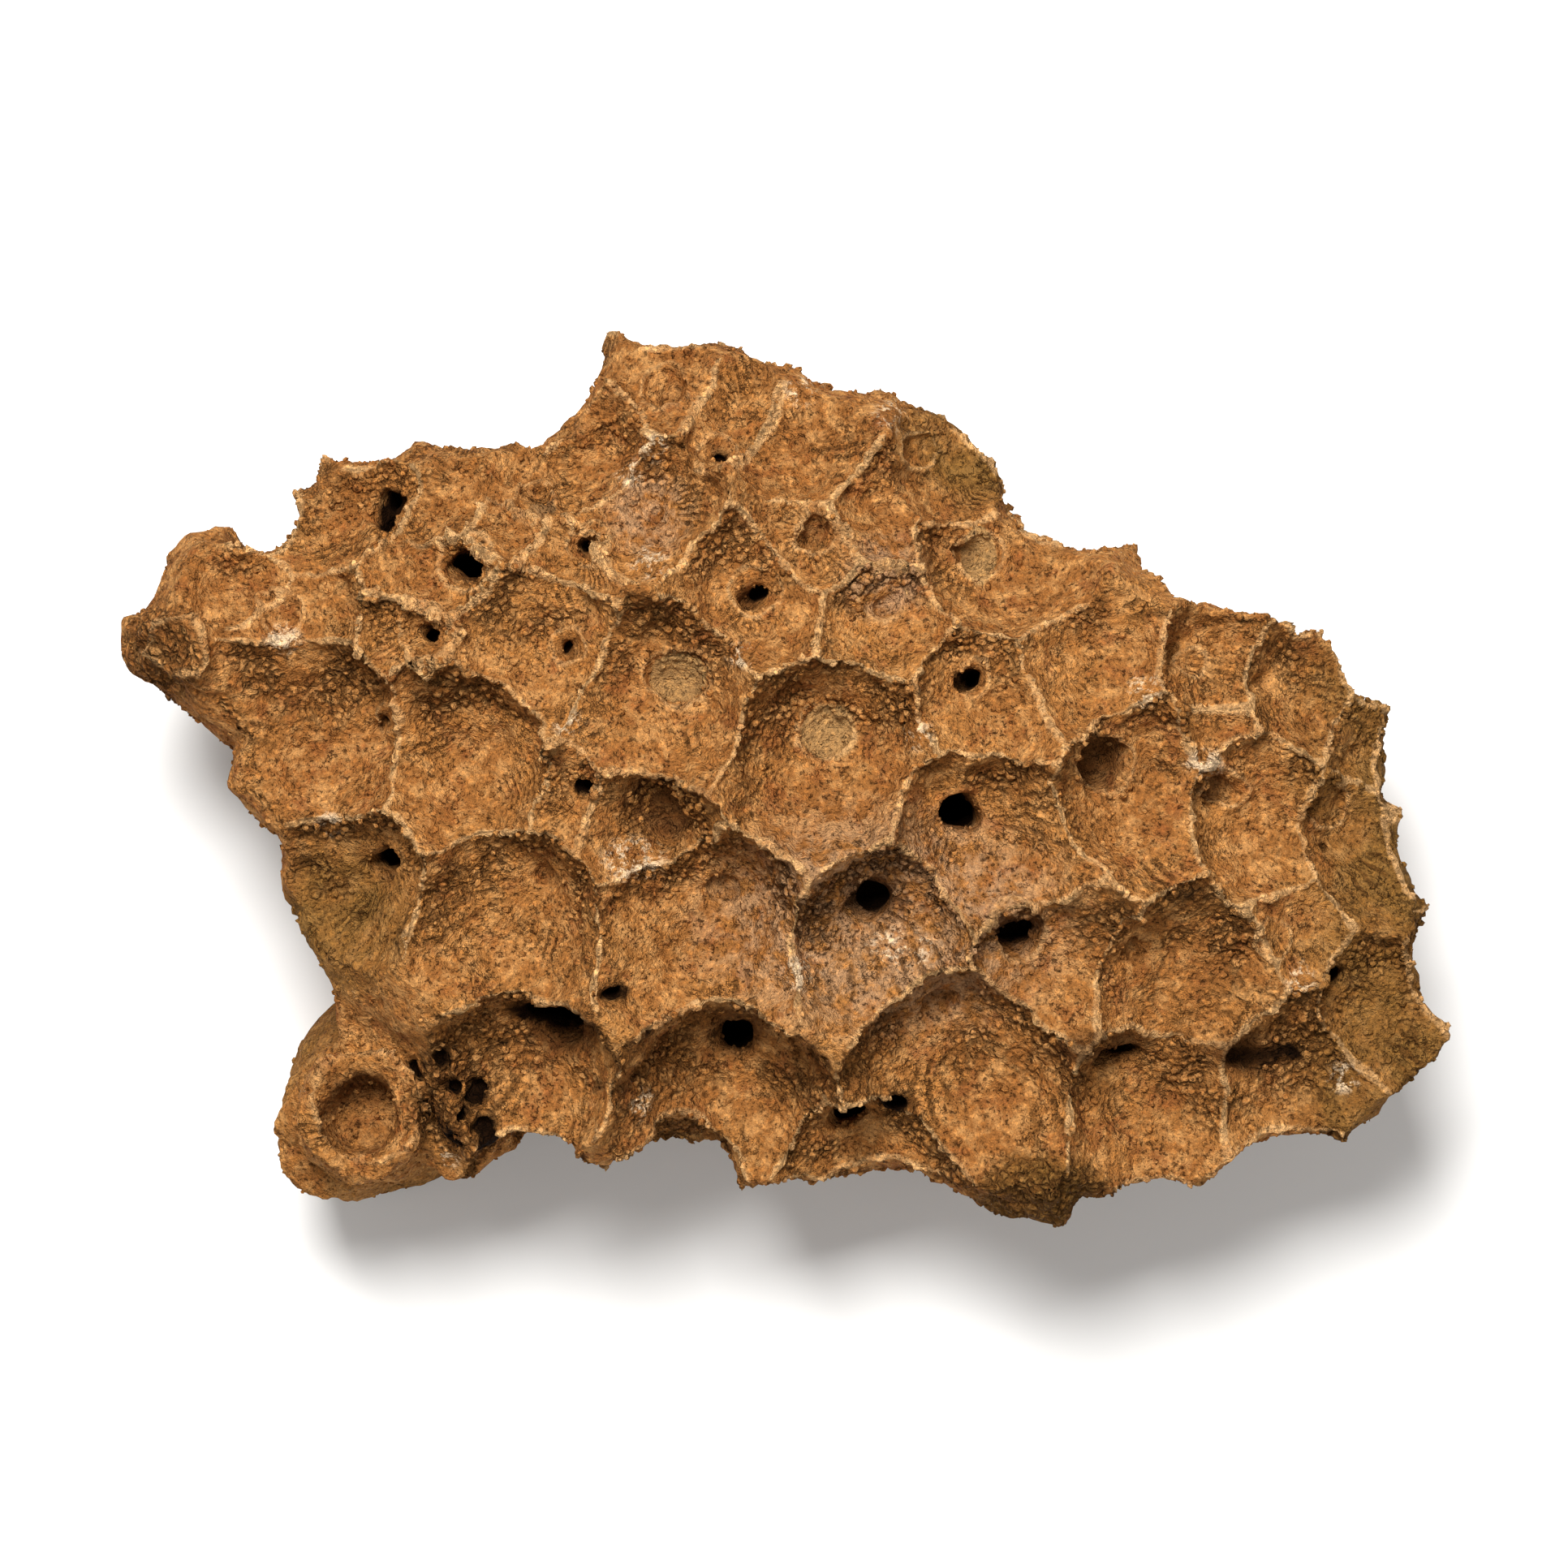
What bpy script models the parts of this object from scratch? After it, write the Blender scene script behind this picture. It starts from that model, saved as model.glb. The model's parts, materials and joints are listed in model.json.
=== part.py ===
"""Fossil colonial rugose coral, lying on the flat cut where it grew, with its calices up.

The colony is one solid. A mound with the colony's outline is drawn first. Corallites on its sides and
top each cut a turned bowl into it, most with a pit in the floor. The bowls overlap, so that sharp ridges
are left where two calices meet and spikes where three meet. A stalk stands apart at the lower left, with
three knobs round it.
Last, the surface is warped a little, as a natural growth is. Lengths are in metres. The drawing looks
straight down on the calices, with +X to the right and +Y up.
"""
from collections import namedtuple
from math import atan2, cos, hypot, radians, sin, tau
from random import Random

import bmesh
import bpy
from mathutils import Matrix, Vector, noise

NAME = "coral_colony"
SEED = 4

# Points round the mound's outline, clockwise from the right, each with the depth of the hollow after it
OUTLINE = (
    (0.0548, -0.0030, 0.0010), (0.0578, -0.0112, 0.0024), (0.0605, -0.0226, 0.0000),
    (0.0530, -0.0306, 0.0000), (0.0505, -0.0325, 0.0026), (0.0383, -0.0364, 0.0024),
    (0.0275, -0.0378, 0.0000), (0.0258, -0.0406, 0.0000), (0.0180, -0.0380, 0.0000),
    (0.0140, -0.0360, 0.0014), (0.0038, -0.0362, 0.0006), (-0.0035, -0.0374, 0.0068),
    (-0.0160, -0.0354, 0.0042), (-0.0285, -0.0350, 0.0000), (-0.0340, -0.0265, 0.0000),
    (-0.0398, -0.0198, 0.0000), (-0.0425, -0.0160, 0.0000), (-0.0455, -0.0100, 0.0000),
    (-0.0458, -0.0048, 0.0000), (-0.0510, -0.0004, 0.0000), (-0.0497, 0.0034, 0.0000),
    (-0.0545, 0.0072, 0.0000), (-0.0600, 0.0103, 0.0000), (-0.0604, 0.0143, 0.0012),
    (-0.0560, 0.0212, 0.0000), (-0.0542, 0.0228, 0.0000), (-0.0512, 0.0229, 0.0052),
    (-0.0432, 0.0256, 0.0006), (-0.0408, 0.0288, 0.0010), (-0.0325, 0.0308, 0.0012),
    (-0.0230, 0.0316, 0.0000), (-0.0200, 0.0320, 0.0008), (-0.0152, 0.0408, 0.0014),
    (-0.0052, 0.0394, 0.0018), (-0.0014, 0.0380, 0.0008), (0.0042, 0.0364, 0.0026),
    (0.0090, 0.0363, 0.0006), (0.0140, 0.0337, 0.0006), (0.0196, 0.0277, 0.0004),
    (0.0208, 0.0242, 0.0008), (0.0240, 0.0215, 0.0008), (0.0318, 0.0213, 0.0074),
    (0.0399, 0.0164, 0.0032), (0.0483, 0.0144, 0.0024), (0.0552, 0.0072, 0.0012),
)

# The mound: where its top lies, how high its rim stands, how far it domes above the rim, and the oval
# foot into which its outline passes below the rim
TOP = Vector((-0.0015, 0.0150))
RIM_HEIGHT = 0.028
DOME_HEIGHT = 0.028
SLOPE_POWER_FRONT = 2.2
SLOPE_POWER_BACK = 2.0
UNDERSIDE_DEPTH = 0.030
TUCK_POWER = 0.8
FOOT_WIDE = 0.0390
FOOT_DEEP = 0.0240
MOUND_RINGS = 14
EDGE_SHARE = 0.95

# The stalk that stands apart and the knobs round it: foot, mouth, radius at the foot and at the mouth
Stalk = namedtuple("Stalk", "foot mouth foot_radius mouth_radius")
STALKS = (
    Stalk((-0.0368, -0.0285, -0.0020), (-0.0384, -0.0302, 0.0330), 0.0098, 0.0054),
    Stalk((-0.0240, -0.0140, 0.0090), (-0.0345, -0.0222, 0.0330), 0.0105, 0.0066),
    Stalk((-0.0225, -0.0180, 0.0090), (-0.0320, -0.0304, 0.0300), 0.0100, 0.0062),
    Stalk((-0.0330, -0.0250, -0.0020), (-0.0418, -0.0330, 0.0240), 0.0090, 0.0054),
)
STALK_SIDES = 14
STALK_BOWL_RADIUS = 0.0046
STALK_BOWL_DEPTH = 0.0012
STALK_PIT_RADIUS = 0.0039
STALK_PIT_DEPTH = 0.0050

# Calices on top: the middle of the floor, the bowl's radius at its ridge, how much steeper than usual
# it is, and the pit's radius and depth
Calice = namedtuple("Calice", "x y radius steepness pit_radius pit_depth")
CALICES = (
    # Upper left
    Calice(-0.0355, 0.0245, 0.0056, 1.2, 0.0018, 0.0050),
    Calice(-0.0395, 0.0165, 0.0054, 1.0, 0.0010, 0.0008),
    Calice(-0.0450, 0.0190, 0.0036, 1.6, 0.0000, 0.0000),
    Calice(-0.0365, 0.0053, 0.0078, 1.0, 0.0014, 0.0012),
    Calice(-0.0318, 0.0128, 0.0040, 1.2, 0.0013, 0.0018),
    Calice(-0.0286, 0.0195, 0.0046, 1.3, 0.0020, 0.0060),
    Calice(-0.0290, 0.0265, 0.0044, 1.0, 0.0000, 0.0000),
    Calice(-0.0226, 0.0245, 0.0040, 1.3, 0.0010, 0.0016),
    Calice(-0.0176, 0.0208, 0.0042, 1.2, 0.0011, 0.0020),
    Calice(-0.0166, 0.0288, 0.0052, 1.2, 0.0000, 0.0000),
    Calice(-0.0195, 0.0120, 0.0066, 1.0, 0.0012, 0.0010),
    Calice(-0.0252, 0.0035, 0.0074, 1.0, 0.0014, 0.0010),
    # Top and middle
    Calice(-0.0105, 0.0350, 0.0054, 1.1, 0.0012, 0.0012),
    Calice(-0.0035, 0.0325, 0.0044, 1.0, 0.0000, 0.0000),
    Calice(-0.0116, 0.0240, 0.0054, 1.3, 0.0010, 0.0008),
    Calice(-0.0027, 0.0168, 0.0056, 1.0, 0.0012, 0.0022),
    Calice(-0.0098, 0.0086, 0.0072, 1.0, 0.0026, 0.0006),
    Calice(0.0024, 0.0225, 0.0052, 1.0, 0.0018, 0.0014),
    Calice(0.0010, 0.0305, 0.0050, 0.8, 0.0010, 0.0010),
    Calice(0.0090, 0.0250, 0.0046, 0.8, 0.0010, 0.0010),
    Calice(0.0150, 0.0285, 0.0052, 0.8, 0.0000, 0.0000),
    Calice(0.0086, 0.0158, 0.0056, 1.0, 0.0012, 0.0008),
    Calice(0.0036, 0.0040, 0.0076, 1.0, 0.0024, 0.0004),
    # Upper right
    Calice(0.0168, 0.0208, 0.0062, 1.1, 0.0018, 0.0016),
    Calice(0.0166, 0.0088, 0.0062, 1.0, 0.0012, 0.0034),
    Calice(0.0245, 0.0120, 0.0066, 0.8, 0.0012, 0.0006),
    Calice(0.0356, 0.0112, 0.0052, 1.2, 0.0012, 0.0012),
    Calice(0.0362, 0.0060, 0.0044, 1.0, 0.0012, 0.0012),
    Calice(0.0436, 0.0092, 0.0058, 1.1, 0.0012, 0.0008),
    Calice(0.0505, 0.0050, 0.0044, 1.0, 0.0000, 0.0000),
    Calice(0.0284, 0.0014, 0.0074, 1.0, 0.0026, 0.0026),
    Calice(0.0393, -0.0008, 0.0076, 1.1, 0.0018, 0.0018),
    Calice(0.0484, -0.0025, 0.0058, 1.0, 0.0012, 0.0012),
    # Left and middle of the front
    Calice(-0.0356, -0.0070, 0.0070, 1.0, 0.0020, 0.0050),
    Calice(-0.0210, -0.0085, 0.0080, 1.0, 0.0014, 0.0012),
    Calice(-0.0177, -0.0005, 0.0036, 1.4, 0.0010, 0.0020),
    Calice(-0.0110, -0.0022, 0.0056, 1.8, 0.0034, 0.0022),
    Calice(-0.0205, -0.0215, 0.0086, 1.1, 0.0030, 0.0034),
    Calice(-0.0060, -0.0092, 0.0086, 0.9, 0.0018, 0.0012),
    Calice(0.0075, -0.0105, 0.0070, 1.1, 0.0020, 0.0024),
    Calice(-0.0042, -0.0228, 0.0102, 0.9, 0.0021, 0.0030),
    Calice(0.0062, -0.0298, 0.0076, 1.0, 0.0018, 0.0026),
    # Right of the front
    Calice(0.0134, -0.0205, 0.0098, 0.8, 0.0020, 0.0014),
    Calice(0.0210, -0.0136, 0.0070, 1.1, 0.0022, 0.0024),
    Calice(0.0152, -0.0028, 0.0080, 1.0, 0.0021, 0.0044),
    Calice(0.0320, -0.0146, 0.0088, 0.8, 0.0014, 0.0010),
    Calice(0.0430, -0.0110, 0.0064, 1.0, 0.0012, 0.0008),
    Calice(0.0495, -0.0178, 0.0070, 1.0, 0.0016, 0.0030),
    Calice(0.0290, -0.0243, 0.0082, 1.0, 0.0020, 0.0014),
    Calice(0.0408, -0.0236, 0.0082, 0.7, 0.0022, 0.0016),
)

# The point below the mound from which the corallites fan out
ROOT = Vector((0.0, 0.0120, -0.0050))

# Every bowl follows one curve, so that a wide bowl is deep and a narrow one shallow. Its ridge lies this
# far under the mound's own surface, and it opens wider up to its lid, which clears the mound.
USUAL_RADIUS = 0.0073
USUAL_DEPTH = 0.0046
BOWL_POWER = 2.1
BOWL_MIDDLE = 0.62
BOWL_MOUTH = 1.6
LID_FLARE = 1.1
LID_CLEARANCE = 0.0120
SINK = 0.0056
PIT_EDGE = 1.1
PIT_TAPER = 0.72
PIT_FLOOR = 1.1
OVALNESS = 0.07
SMALL_RADIUS = 0.0047
SIDES_SMALL = 10
SIDES_LARGE = 12

# Hollows on the rim, tall ovals whose edges leave the outline's points standing as spikes
HOLLOW_HEIGHT = 0.0310
HOLLOW_STRETCH = 2.5
HOLLOW_WIDTH = 0.52

# The row of calices low on the sides
LOW_ROW_COUNT = 21
LOW_ROW_HEIGHT = 0.0140
LOW_ROW_SHIFT = 0.0020
LOW_ROW_RADIUS = 0.0056
LOW_ROW_DEPTH = 0.0026
LOW_ROW_TILT = radians(-12)
LOW_ROW_SIDES = 8

# The slow unevenness of the whole surface, which fades out at the base
WARP_REACH = 0.0014
WARP_SIZE = 0.011
WARP_FADE = 0.006
WARP_OFFSETS = (Vector((0, 0, 0)), Vector((31.4, 0, 0)), Vector((0, 27.2, 0)))
MERGE_DISTANCE = 0.00002


def clear_scene():
    """Removes every object that the file opened with."""
    for thing in list(bpy.data.objects):
        bpy.data.objects.remove(thing, do_unlink=True)


def new_collection(name):
    collection = bpy.data.collections.new(name)
    bpy.context.scene.collection.children.link(collection)
    return collection


def finish(shape, name, collection):
    """Turns a finished bmesh into an object."""
    mesh = bpy.data.meshes.new(name)
    shape.to_mesh(mesh)
    shape.free()
    thing = bpy.data.objects.new(name, mesh)
    collection.objects.link(thing)
    return thing


def hide_helper(thing):
    """Marks a cutter or a shape that is joined to the colony, which is no part itself."""
    thing.hide_render = True
    thing.display_type = "WIRE"


def outline_marks():
    """Compass direction and distance of each outline point from the mound's top, once round."""
    marks = sorted((atan2(y - TOP.y, x - TOP.x), hypot(x - TOP.x, y - TOP.y)) for x, y, hollow in OUTLINE)
    return marks + [(marks[0][0] + tau, marks[0][1])]


def mound_radius(angle):
    """Distance from the mound's top to its outline, in one compass direction."""
    marks = outline_marks()
    angle = marks[0][0] + (angle - marks[0][0]) % tau
    for (start, near), (end, far) in zip(marks, marks[1:]):
        if angle <= end:
            return near + (far - near) * (angle - start) / (end - start)
    return marks[-1][1]


def outline_point(angle):
    return TOP + mound_radius(angle) * Vector((cos(angle), sin(angle)))


def dome_share(distance, angle):
    """Height of the dome above its rim, from 1 at the top to 0 at the outline."""
    power = SLOPE_POWER_FRONT + (SLOPE_POWER_BACK - SLOPE_POWER_FRONT) * max(0.0, sin(angle))
    return (1 - min(distance, 1.0) ** power) ** (1 / power)


def mound_height(x, y):
    """Height of the mound's top side over one point."""
    angle = atan2(y - TOP.y, x - TOP.x)
    distance = hypot(x - TOP.x, y - TOP.y) / mound_radius(angle)
    return RIM_HEIGHT + DOME_HEIGHT * dome_share(min(distance, EDGE_SHARE), angle)


def underside_point(edge, depth):
    """A point below the rim: the outline passes into an oval foot as it goes down."""
    foot = Vector((edge.x, edge.y * FOOT_WIDE / FOOT_DEEP)).normalized()
    foot = Vector((foot.x * FOOT_WIDE, foot.y * FOOT_DEEP))
    flat = edge.lerp(foot, depth ** TUCK_POWER)
    return Vector((flat.x, flat.y, RIM_HEIGHT - UNDERSIDE_DEPTH * depth))


def make_mound(collection):
    """A ball drawn out to the colony's outline, domed above its rim and tucked in below it."""
    shape = bmesh.new()
    marks = outline_marks()
    sides = len(OUTLINE)
    bmesh.ops.create_uvsphere(shape, u_segments=sides, v_segments=MOUND_RINGS, radius=1)
    lowest = min(vertex.co.z for vertex in shape.verts)
    for vertex in shape.verts:
        x, y, z = vertex.co
        angle = marks[round(atan2(y, x) / tau * sides) % sides][0]
        spread = min(hypot(x, y), 1.0)
        if z == lowest:
            vertex.co = (0, 0, RIM_HEIGHT - UNDERSIDE_DEPTH)
        elif z < 0:
            vertex.co = underside_point(outline_point(angle), -z)
        else:
            flat = TOP.lerp(outline_point(angle), spread)
            vertex.co = (flat.x, flat.y, RIM_HEIGHT + DOME_HEIGHT * dome_share(spread, angle))
    return finish(shape, NAME, collection)


def make_stalk(stalk, collection):
    """The outer wall of a corallite that stands apart, wide at its foot and narrow at its mouth."""
    foot, mouth = Vector(stalk.foot), Vector(stalk.mouth)
    shape = bmesh.new()
    bmesh.ops.create_cone(shape, cap_ends=True, segments=STALK_SIDES, radius1=stalk.foot_radius,
                          radius2=stalk.mouth_radius, depth=(mouth - foot).length)
    turn = leaning(mouth - foot)
    bmesh.ops.transform(shape, matrix=Matrix.Translation((foot + mouth) / 2) @ turn, verts=shape.verts)
    hide_helper(finish(shape, "stalk", collection))


def leaning(axis):
    """Turns a shape that stands upright so that it points along an axis."""
    lean = atan2(hypot(axis.x, axis.y), axis.z)
    return Matrix.Rotation(atan2(axis.y, axis.x), 4, "Z") @ Matrix.Rotation(lean, 4, "Y")


def bowl_height(distance, radius, depth):
    return depth * (distance / radius) ** BOWL_POWER


def calice_profile(radius, depth, pit_radius=0.0, pit_depth=0.0):
    """Outer side of a bowl, from the middle of its lid down to the middle of its floor or pit."""
    mouth = radius * BOWL_MOUTH
    lid = max(depth + LID_CLEARANCE, bowl_height(mouth, radius, depth))
    points = [(0, lid), (mouth * LID_FLARE, lid)]
    rings = [ring for ring in (mouth, radius, radius * BOWL_MIDDLE) if ring > pit_radius * PIT_EDGE]
    points += [(ring, bowl_height(ring, radius, depth)) for ring in rings]
    if pit_depth:
        points.append((pit_radius, bowl_height(pit_radius, radius, depth)))
        points.append((pit_radius * PIT_TAPER, -pit_depth))
    points.append((0, -pit_depth * PIT_FLOOR))
    return points


def make_cutter(collection, floor, axis, profile, sides, dice, stretch=1.0):
    """One corallite's bowl, turned about the axis through the middle of its floor."""
    oval = 1 + dice.uniform(-OVALNESS, OVALNESS)
    start = dice.uniform(0, tau)
    mesh = bpy.data.meshes.new("calice_bowl")
    mesh.from_pydata([(reach * cos(start), reach * sin(start), height) for reach, height in profile],
                     [(i, i + 1) for i in range(len(profile) - 1)], [])
    cutter = bpy.data.objects.new(mesh.name, mesh)
    collection.objects.link(cutter)
    screw = cutter.modifiers.new("turned", "SCREW")
    screw.steps = screw.render_steps = sides
    screw.use_merge_vertices = True
    screw.merge_threshold = 0.00001
    sizes = Matrix.Diagonal((oval * stretch, 1 / oval, 1, 1))
    cutter.matrix_world = Matrix.Translation(floor) @ leaning(axis) @ sizes
    hide_helper(cutter)


def cut_calices(collection, dice):
    """The calices on top: each leans away from the point where the corallites fan out."""
    for calice in CALICES:
        depth = calice.steepness * USUAL_DEPTH * (calice.radius / USUAL_RADIUS) ** BOWL_POWER
        floor = Vector((calice.x, calice.y, mound_height(calice.x, calice.y) - SINK - depth))
        profile = calice_profile(calice.radius, depth, calice.pit_radius, calice.pit_depth)
        sides = SIDES_SMALL if calice.radius < SMALL_RADIUS else SIDES_LARGE
        make_cutter(collection, floor, floor - ROOT, profile, sides, dice)


def cut_stalk(collection, dice):
    """The calice in the mouth of the stalk that stands apart, the first in the list."""
    mouth = Vector(STALKS[0].mouth)
    axis = (mouth - Vector(STALKS[0].foot)).normalized()
    profile = calice_profile(STALK_BOWL_RADIUS, STALK_BOWL_DEPTH, STALK_PIT_RADIUS, STALK_PIT_DEPTH)
    make_cutter(collection, mouth - axis * STALK_BOWL_DEPTH, axis, profile, SIDES_LARGE, dice)


def cut_hollows(collection, dice):
    """A calice on the rim between two points of the outline, which stay behind as spikes."""
    for index, (x, y, hollow) in enumerate(OUTLINE):
        if not hollow:
            continue
        end = Vector(OUTLINE[(index + 1) % len(OUTLINE)][:2])
        chord = end - Vector((x, y))
        outward = Vector((-chord.y, chord.x)).normalized()
        middle = end - chord / 2 - outward * hollow
        profile = calice_profile(chord.length * HOLLOW_WIDTH, hollow)
        make_cutter(collection, Vector((middle.x, middle.y, HOLLOW_HEIGHT)), outward.to_3d(), profile,
                    SIDES_SMALL, dice, HOLLOW_STRETCH)


def cut_low_row(collection, dice):
    """Calices low on the sides, all the way round."""
    depth = (RIM_HEIGHT - LOW_ROW_HEIGHT) / UNDERSIDE_DEPTH
    profile = calice_profile(LOW_ROW_RADIUS, LOW_ROW_DEPTH)
    for index in range(LOW_ROW_COUNT):
        wall = underside_point(outline_point(tau * index / LOW_ROW_COUNT), depth)
        outward = Vector((wall.x, wall.y, 0)).normalized()
        floor = wall - outward * LOW_ROW_DEPTH
        floor.z += dice.uniform(-LOW_ROW_SHIFT, LOW_ROW_SHIFT)
        axis = outward * cos(LOW_ROW_TILT) + Vector((0, 0, sin(LOW_ROW_TILT)))
        make_cutter(collection, floor, axis, profile, LOW_ROW_SIDES, dice)


def add_boolean(thing, operation, collection):
    cut = thing.modifiers.new(operation.lower(), "BOOLEAN")
    cut.operation = operation
    cut.solver = "EXACT"
    cut.operand_type = "COLLECTION"
    cut.collection = collection


def warped(point):
    """A point of the surface moved by the slow unevenness of a natural growth, none at the base."""
    fade = min(max(point.z / WARP_FADE, 0.0), 1.0)
    push = [noise.noise(point / WARP_SIZE + offset) for offset in WARP_OFFSETS]
    return point + Vector(push) * WARP_REACH * fade


def cut_base(shape):
    """Cuts the colony off flat where it grew on rock."""
    everything = shape.verts[:] + shape.edges[:] + shape.faces[:]
    cut = bmesh.ops.bisect_plane(shape, geom=everything, plane_co=(0, 0, 0), plane_no=(0, 0, -1),
                                 clear_outer=True)
    edges = [piece for piece in cut["geom_cut"] if isinstance(piece, bmesh.types.BMEdge)]
    bmesh.ops.contextual_create(shape, geom=edges)


def drop_flakes(shape):
    """Deletes the small loose pieces that the cuts leave behind, and keeps the colony."""
    left = set(shape.verts)
    bodies = []
    while left:
        body = {left.pop()}
        fringe = set(body)
        while fringe:
            fringe = {edge.other_vert(vertex) for vertex in fringe for edge in vertex.link_edges} - body
            body |= fringe
        left -= body
        bodies.append(body)
    bodies.sort(key=len)
    for body in bodies[:-1]:
        bmesh.ops.delete(shape, geom=list(body), context="VERTS")


def shape_colony(colony):
    """Takes the cut shape as a mesh, warps it, cuts its base flat and cleans it."""
    evaluated = colony.evaluated_get(bpy.context.evaluated_depsgraph_get())
    shape = bmesh.new()
    shape.from_mesh(bpy.data.meshes.new_from_object(evaluated))
    for vertex in shape.verts:
        vertex.co = warped(vertex.co)
    cut_base(shape)
    drop_flakes(shape)
    bmesh.ops.dissolve_degenerate(shape, dist=MERGE_DISTANCE, edges=shape.edges[:])
    bmesh.ops.triangulate(shape, faces=shape.faces[:])
    colony.modifiers.clear()
    shape.to_mesh(colony.data)
    shape.free()


def centre_colony(colony):
    """Moves the middle of the base's box to the origin."""
    low, high = [Vector([choose(vertex.co[axis] for vertex in colony.data.vertices) for axis in range(3)])
                 for choose in (min, max)]
    colony.data.transform(Matrix.Translation((-(low.x + high.x) / 2, -(low.y + high.y) / 2, -low.z)))


def add_material(colony):
    """Dull ochre limestone."""
    material = bpy.data.materials.new("ochre_limestone")
    material.use_nodes = True
    surface = material.node_tree.nodes["Principled BSDF"]
    surface.inputs["Base Color"].default_value = (0.41, 0.18, 0.06, 1)
    surface.inputs["Roughness"].default_value = 0.92
    surface.inputs["Metallic"].default_value = 0.0
    colony.data.materials.append(material)


def main():
    clear_scene()
    parts = new_collection("fossil_coral")
    stalks = new_collection("stalks")
    side_cutters = new_collection("side_cutters")
    top_cutters = new_collection("top_cutters")
    dice = Random(SEED)
    colony = make_mound(parts)
    for stalk in STALKS:
        make_stalk(stalk, stalks)
    cut_hollows(side_cutters, dice)
    cut_low_row(side_cutters, dice)
    cut_calices(top_cutters, dice)
    cut_stalk(top_cutters, dice)
    add_boolean(colony, "DIFFERENCE", side_cutters)
    add_boolean(colony, "UNION", stalks)
    add_boolean(colony, "DIFFERENCE", top_cutters)
    shape_colony(colony)
    centre_colony(colony)
    add_material(colony)


main()
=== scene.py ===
"""Looks of the fossil coral colony, which lies on its flat base with its calices up.

The colony's skin is grown again from the same sizes as its solid, with round bowls, small holes and a
rough surface. Beads of the septa and loose grains are laid on it by Geometry Nodes. Lengths are in metres,
but the tables hold whole tenths of a millimetre, and that of the holes hundredths.
"""

import json
from collections import namedtuple
from math import atan2, cos, hypot, radians, sin, tau
from random import Random

import bmesh
import bpy
import numpy as np
from mathutils import Matrix, Vector, noise
from mathutils.bvhtree import BVHTree

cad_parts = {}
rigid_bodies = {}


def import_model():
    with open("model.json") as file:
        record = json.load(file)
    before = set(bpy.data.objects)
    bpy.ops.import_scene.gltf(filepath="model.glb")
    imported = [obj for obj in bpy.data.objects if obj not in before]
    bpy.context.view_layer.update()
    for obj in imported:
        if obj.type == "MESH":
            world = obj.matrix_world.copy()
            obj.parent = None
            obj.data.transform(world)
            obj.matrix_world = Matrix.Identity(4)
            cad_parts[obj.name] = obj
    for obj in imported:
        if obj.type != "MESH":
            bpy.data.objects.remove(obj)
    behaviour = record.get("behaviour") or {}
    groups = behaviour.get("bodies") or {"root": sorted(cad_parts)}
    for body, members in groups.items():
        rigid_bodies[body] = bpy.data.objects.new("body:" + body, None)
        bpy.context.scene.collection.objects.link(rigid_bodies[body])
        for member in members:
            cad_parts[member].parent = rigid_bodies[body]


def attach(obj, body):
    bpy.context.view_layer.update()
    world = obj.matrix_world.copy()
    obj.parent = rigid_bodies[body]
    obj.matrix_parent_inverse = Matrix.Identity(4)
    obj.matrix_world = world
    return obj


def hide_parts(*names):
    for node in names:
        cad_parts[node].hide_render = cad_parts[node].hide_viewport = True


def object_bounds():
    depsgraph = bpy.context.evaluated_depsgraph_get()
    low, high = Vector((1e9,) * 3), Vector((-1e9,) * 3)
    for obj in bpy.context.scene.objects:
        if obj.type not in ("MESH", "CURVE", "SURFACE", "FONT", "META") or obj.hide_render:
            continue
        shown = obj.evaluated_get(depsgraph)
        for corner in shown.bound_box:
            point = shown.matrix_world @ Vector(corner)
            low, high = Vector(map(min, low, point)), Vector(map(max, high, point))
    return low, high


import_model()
solid_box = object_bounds()

SEED = 4
TENTHS = 10000
HUNDREDTHS = 100000


def metres(row, unit=TENTHS):
    return tuple(value / unit for value in row)


# Points round the mound's outline, clockwise from the right, each with the depth of the hollow after it
OUTLINE = [metres(row) for row in (
    (548, -30, 10), (578, -112, 24), (605, -226, 0), (530, -306, 0), (505, -325, 26), (383, -364, 24),
    (275, -378, 0), (258, -406, 0), (180, -380, 0), (140, -360, 14), (38, -362, 6), (-35, -374, 68),
    (-160, -354, 42), (-285, -350, 0), (-340, -265, 0), (-398, -198, 0), (-425, -160, 0), (-455, -100, 0),
    (-458, -48, 0), (-510, -4, 0), (-497, 34, 0), (-545, 72, 0), (-600, 103, 0), (-604, 143, 12),
    (-560, 212, 0), (-542, 228, 0), (-512, 229, 52), (-432, 256, 6), (-408, 288, 10), (-325, 308, 12),
    (-230, 316, 0), (-200, 320, 8), (-152, 408, 14), (-52, 394, 18), (-14, 380, 8), (42, 364, 26),
    (90, 363, 6), (140, 337, 6), (196, 277, 4), (208, 242, 8), (240, 215, 8), (318, 213, 74),
    (399, 164, 32), (483, 144, 24), (552, 72, 12),
)]

# The mound: its top, its rim and dome, and the oval foot into which its outline passes below the rim
TOP = Vector((-0.0015, 0.0150))
RIM_HEIGHT = 0.028
DOME_HEIGHT = 0.028
SLOPE_POWER_FRONT = 2.2
SLOPE_POWER_BACK = 2.0
UNDERSIDE_DEPTH = 0.030
TUCK_POWER = 0.8
FOOT_WIDE = 0.0390
FOOT_DEEP = 0.0240
MOUND_SPLITS = 3
MOUND_RINGS = 42
EDGE_SHARE = 0.95

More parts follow.
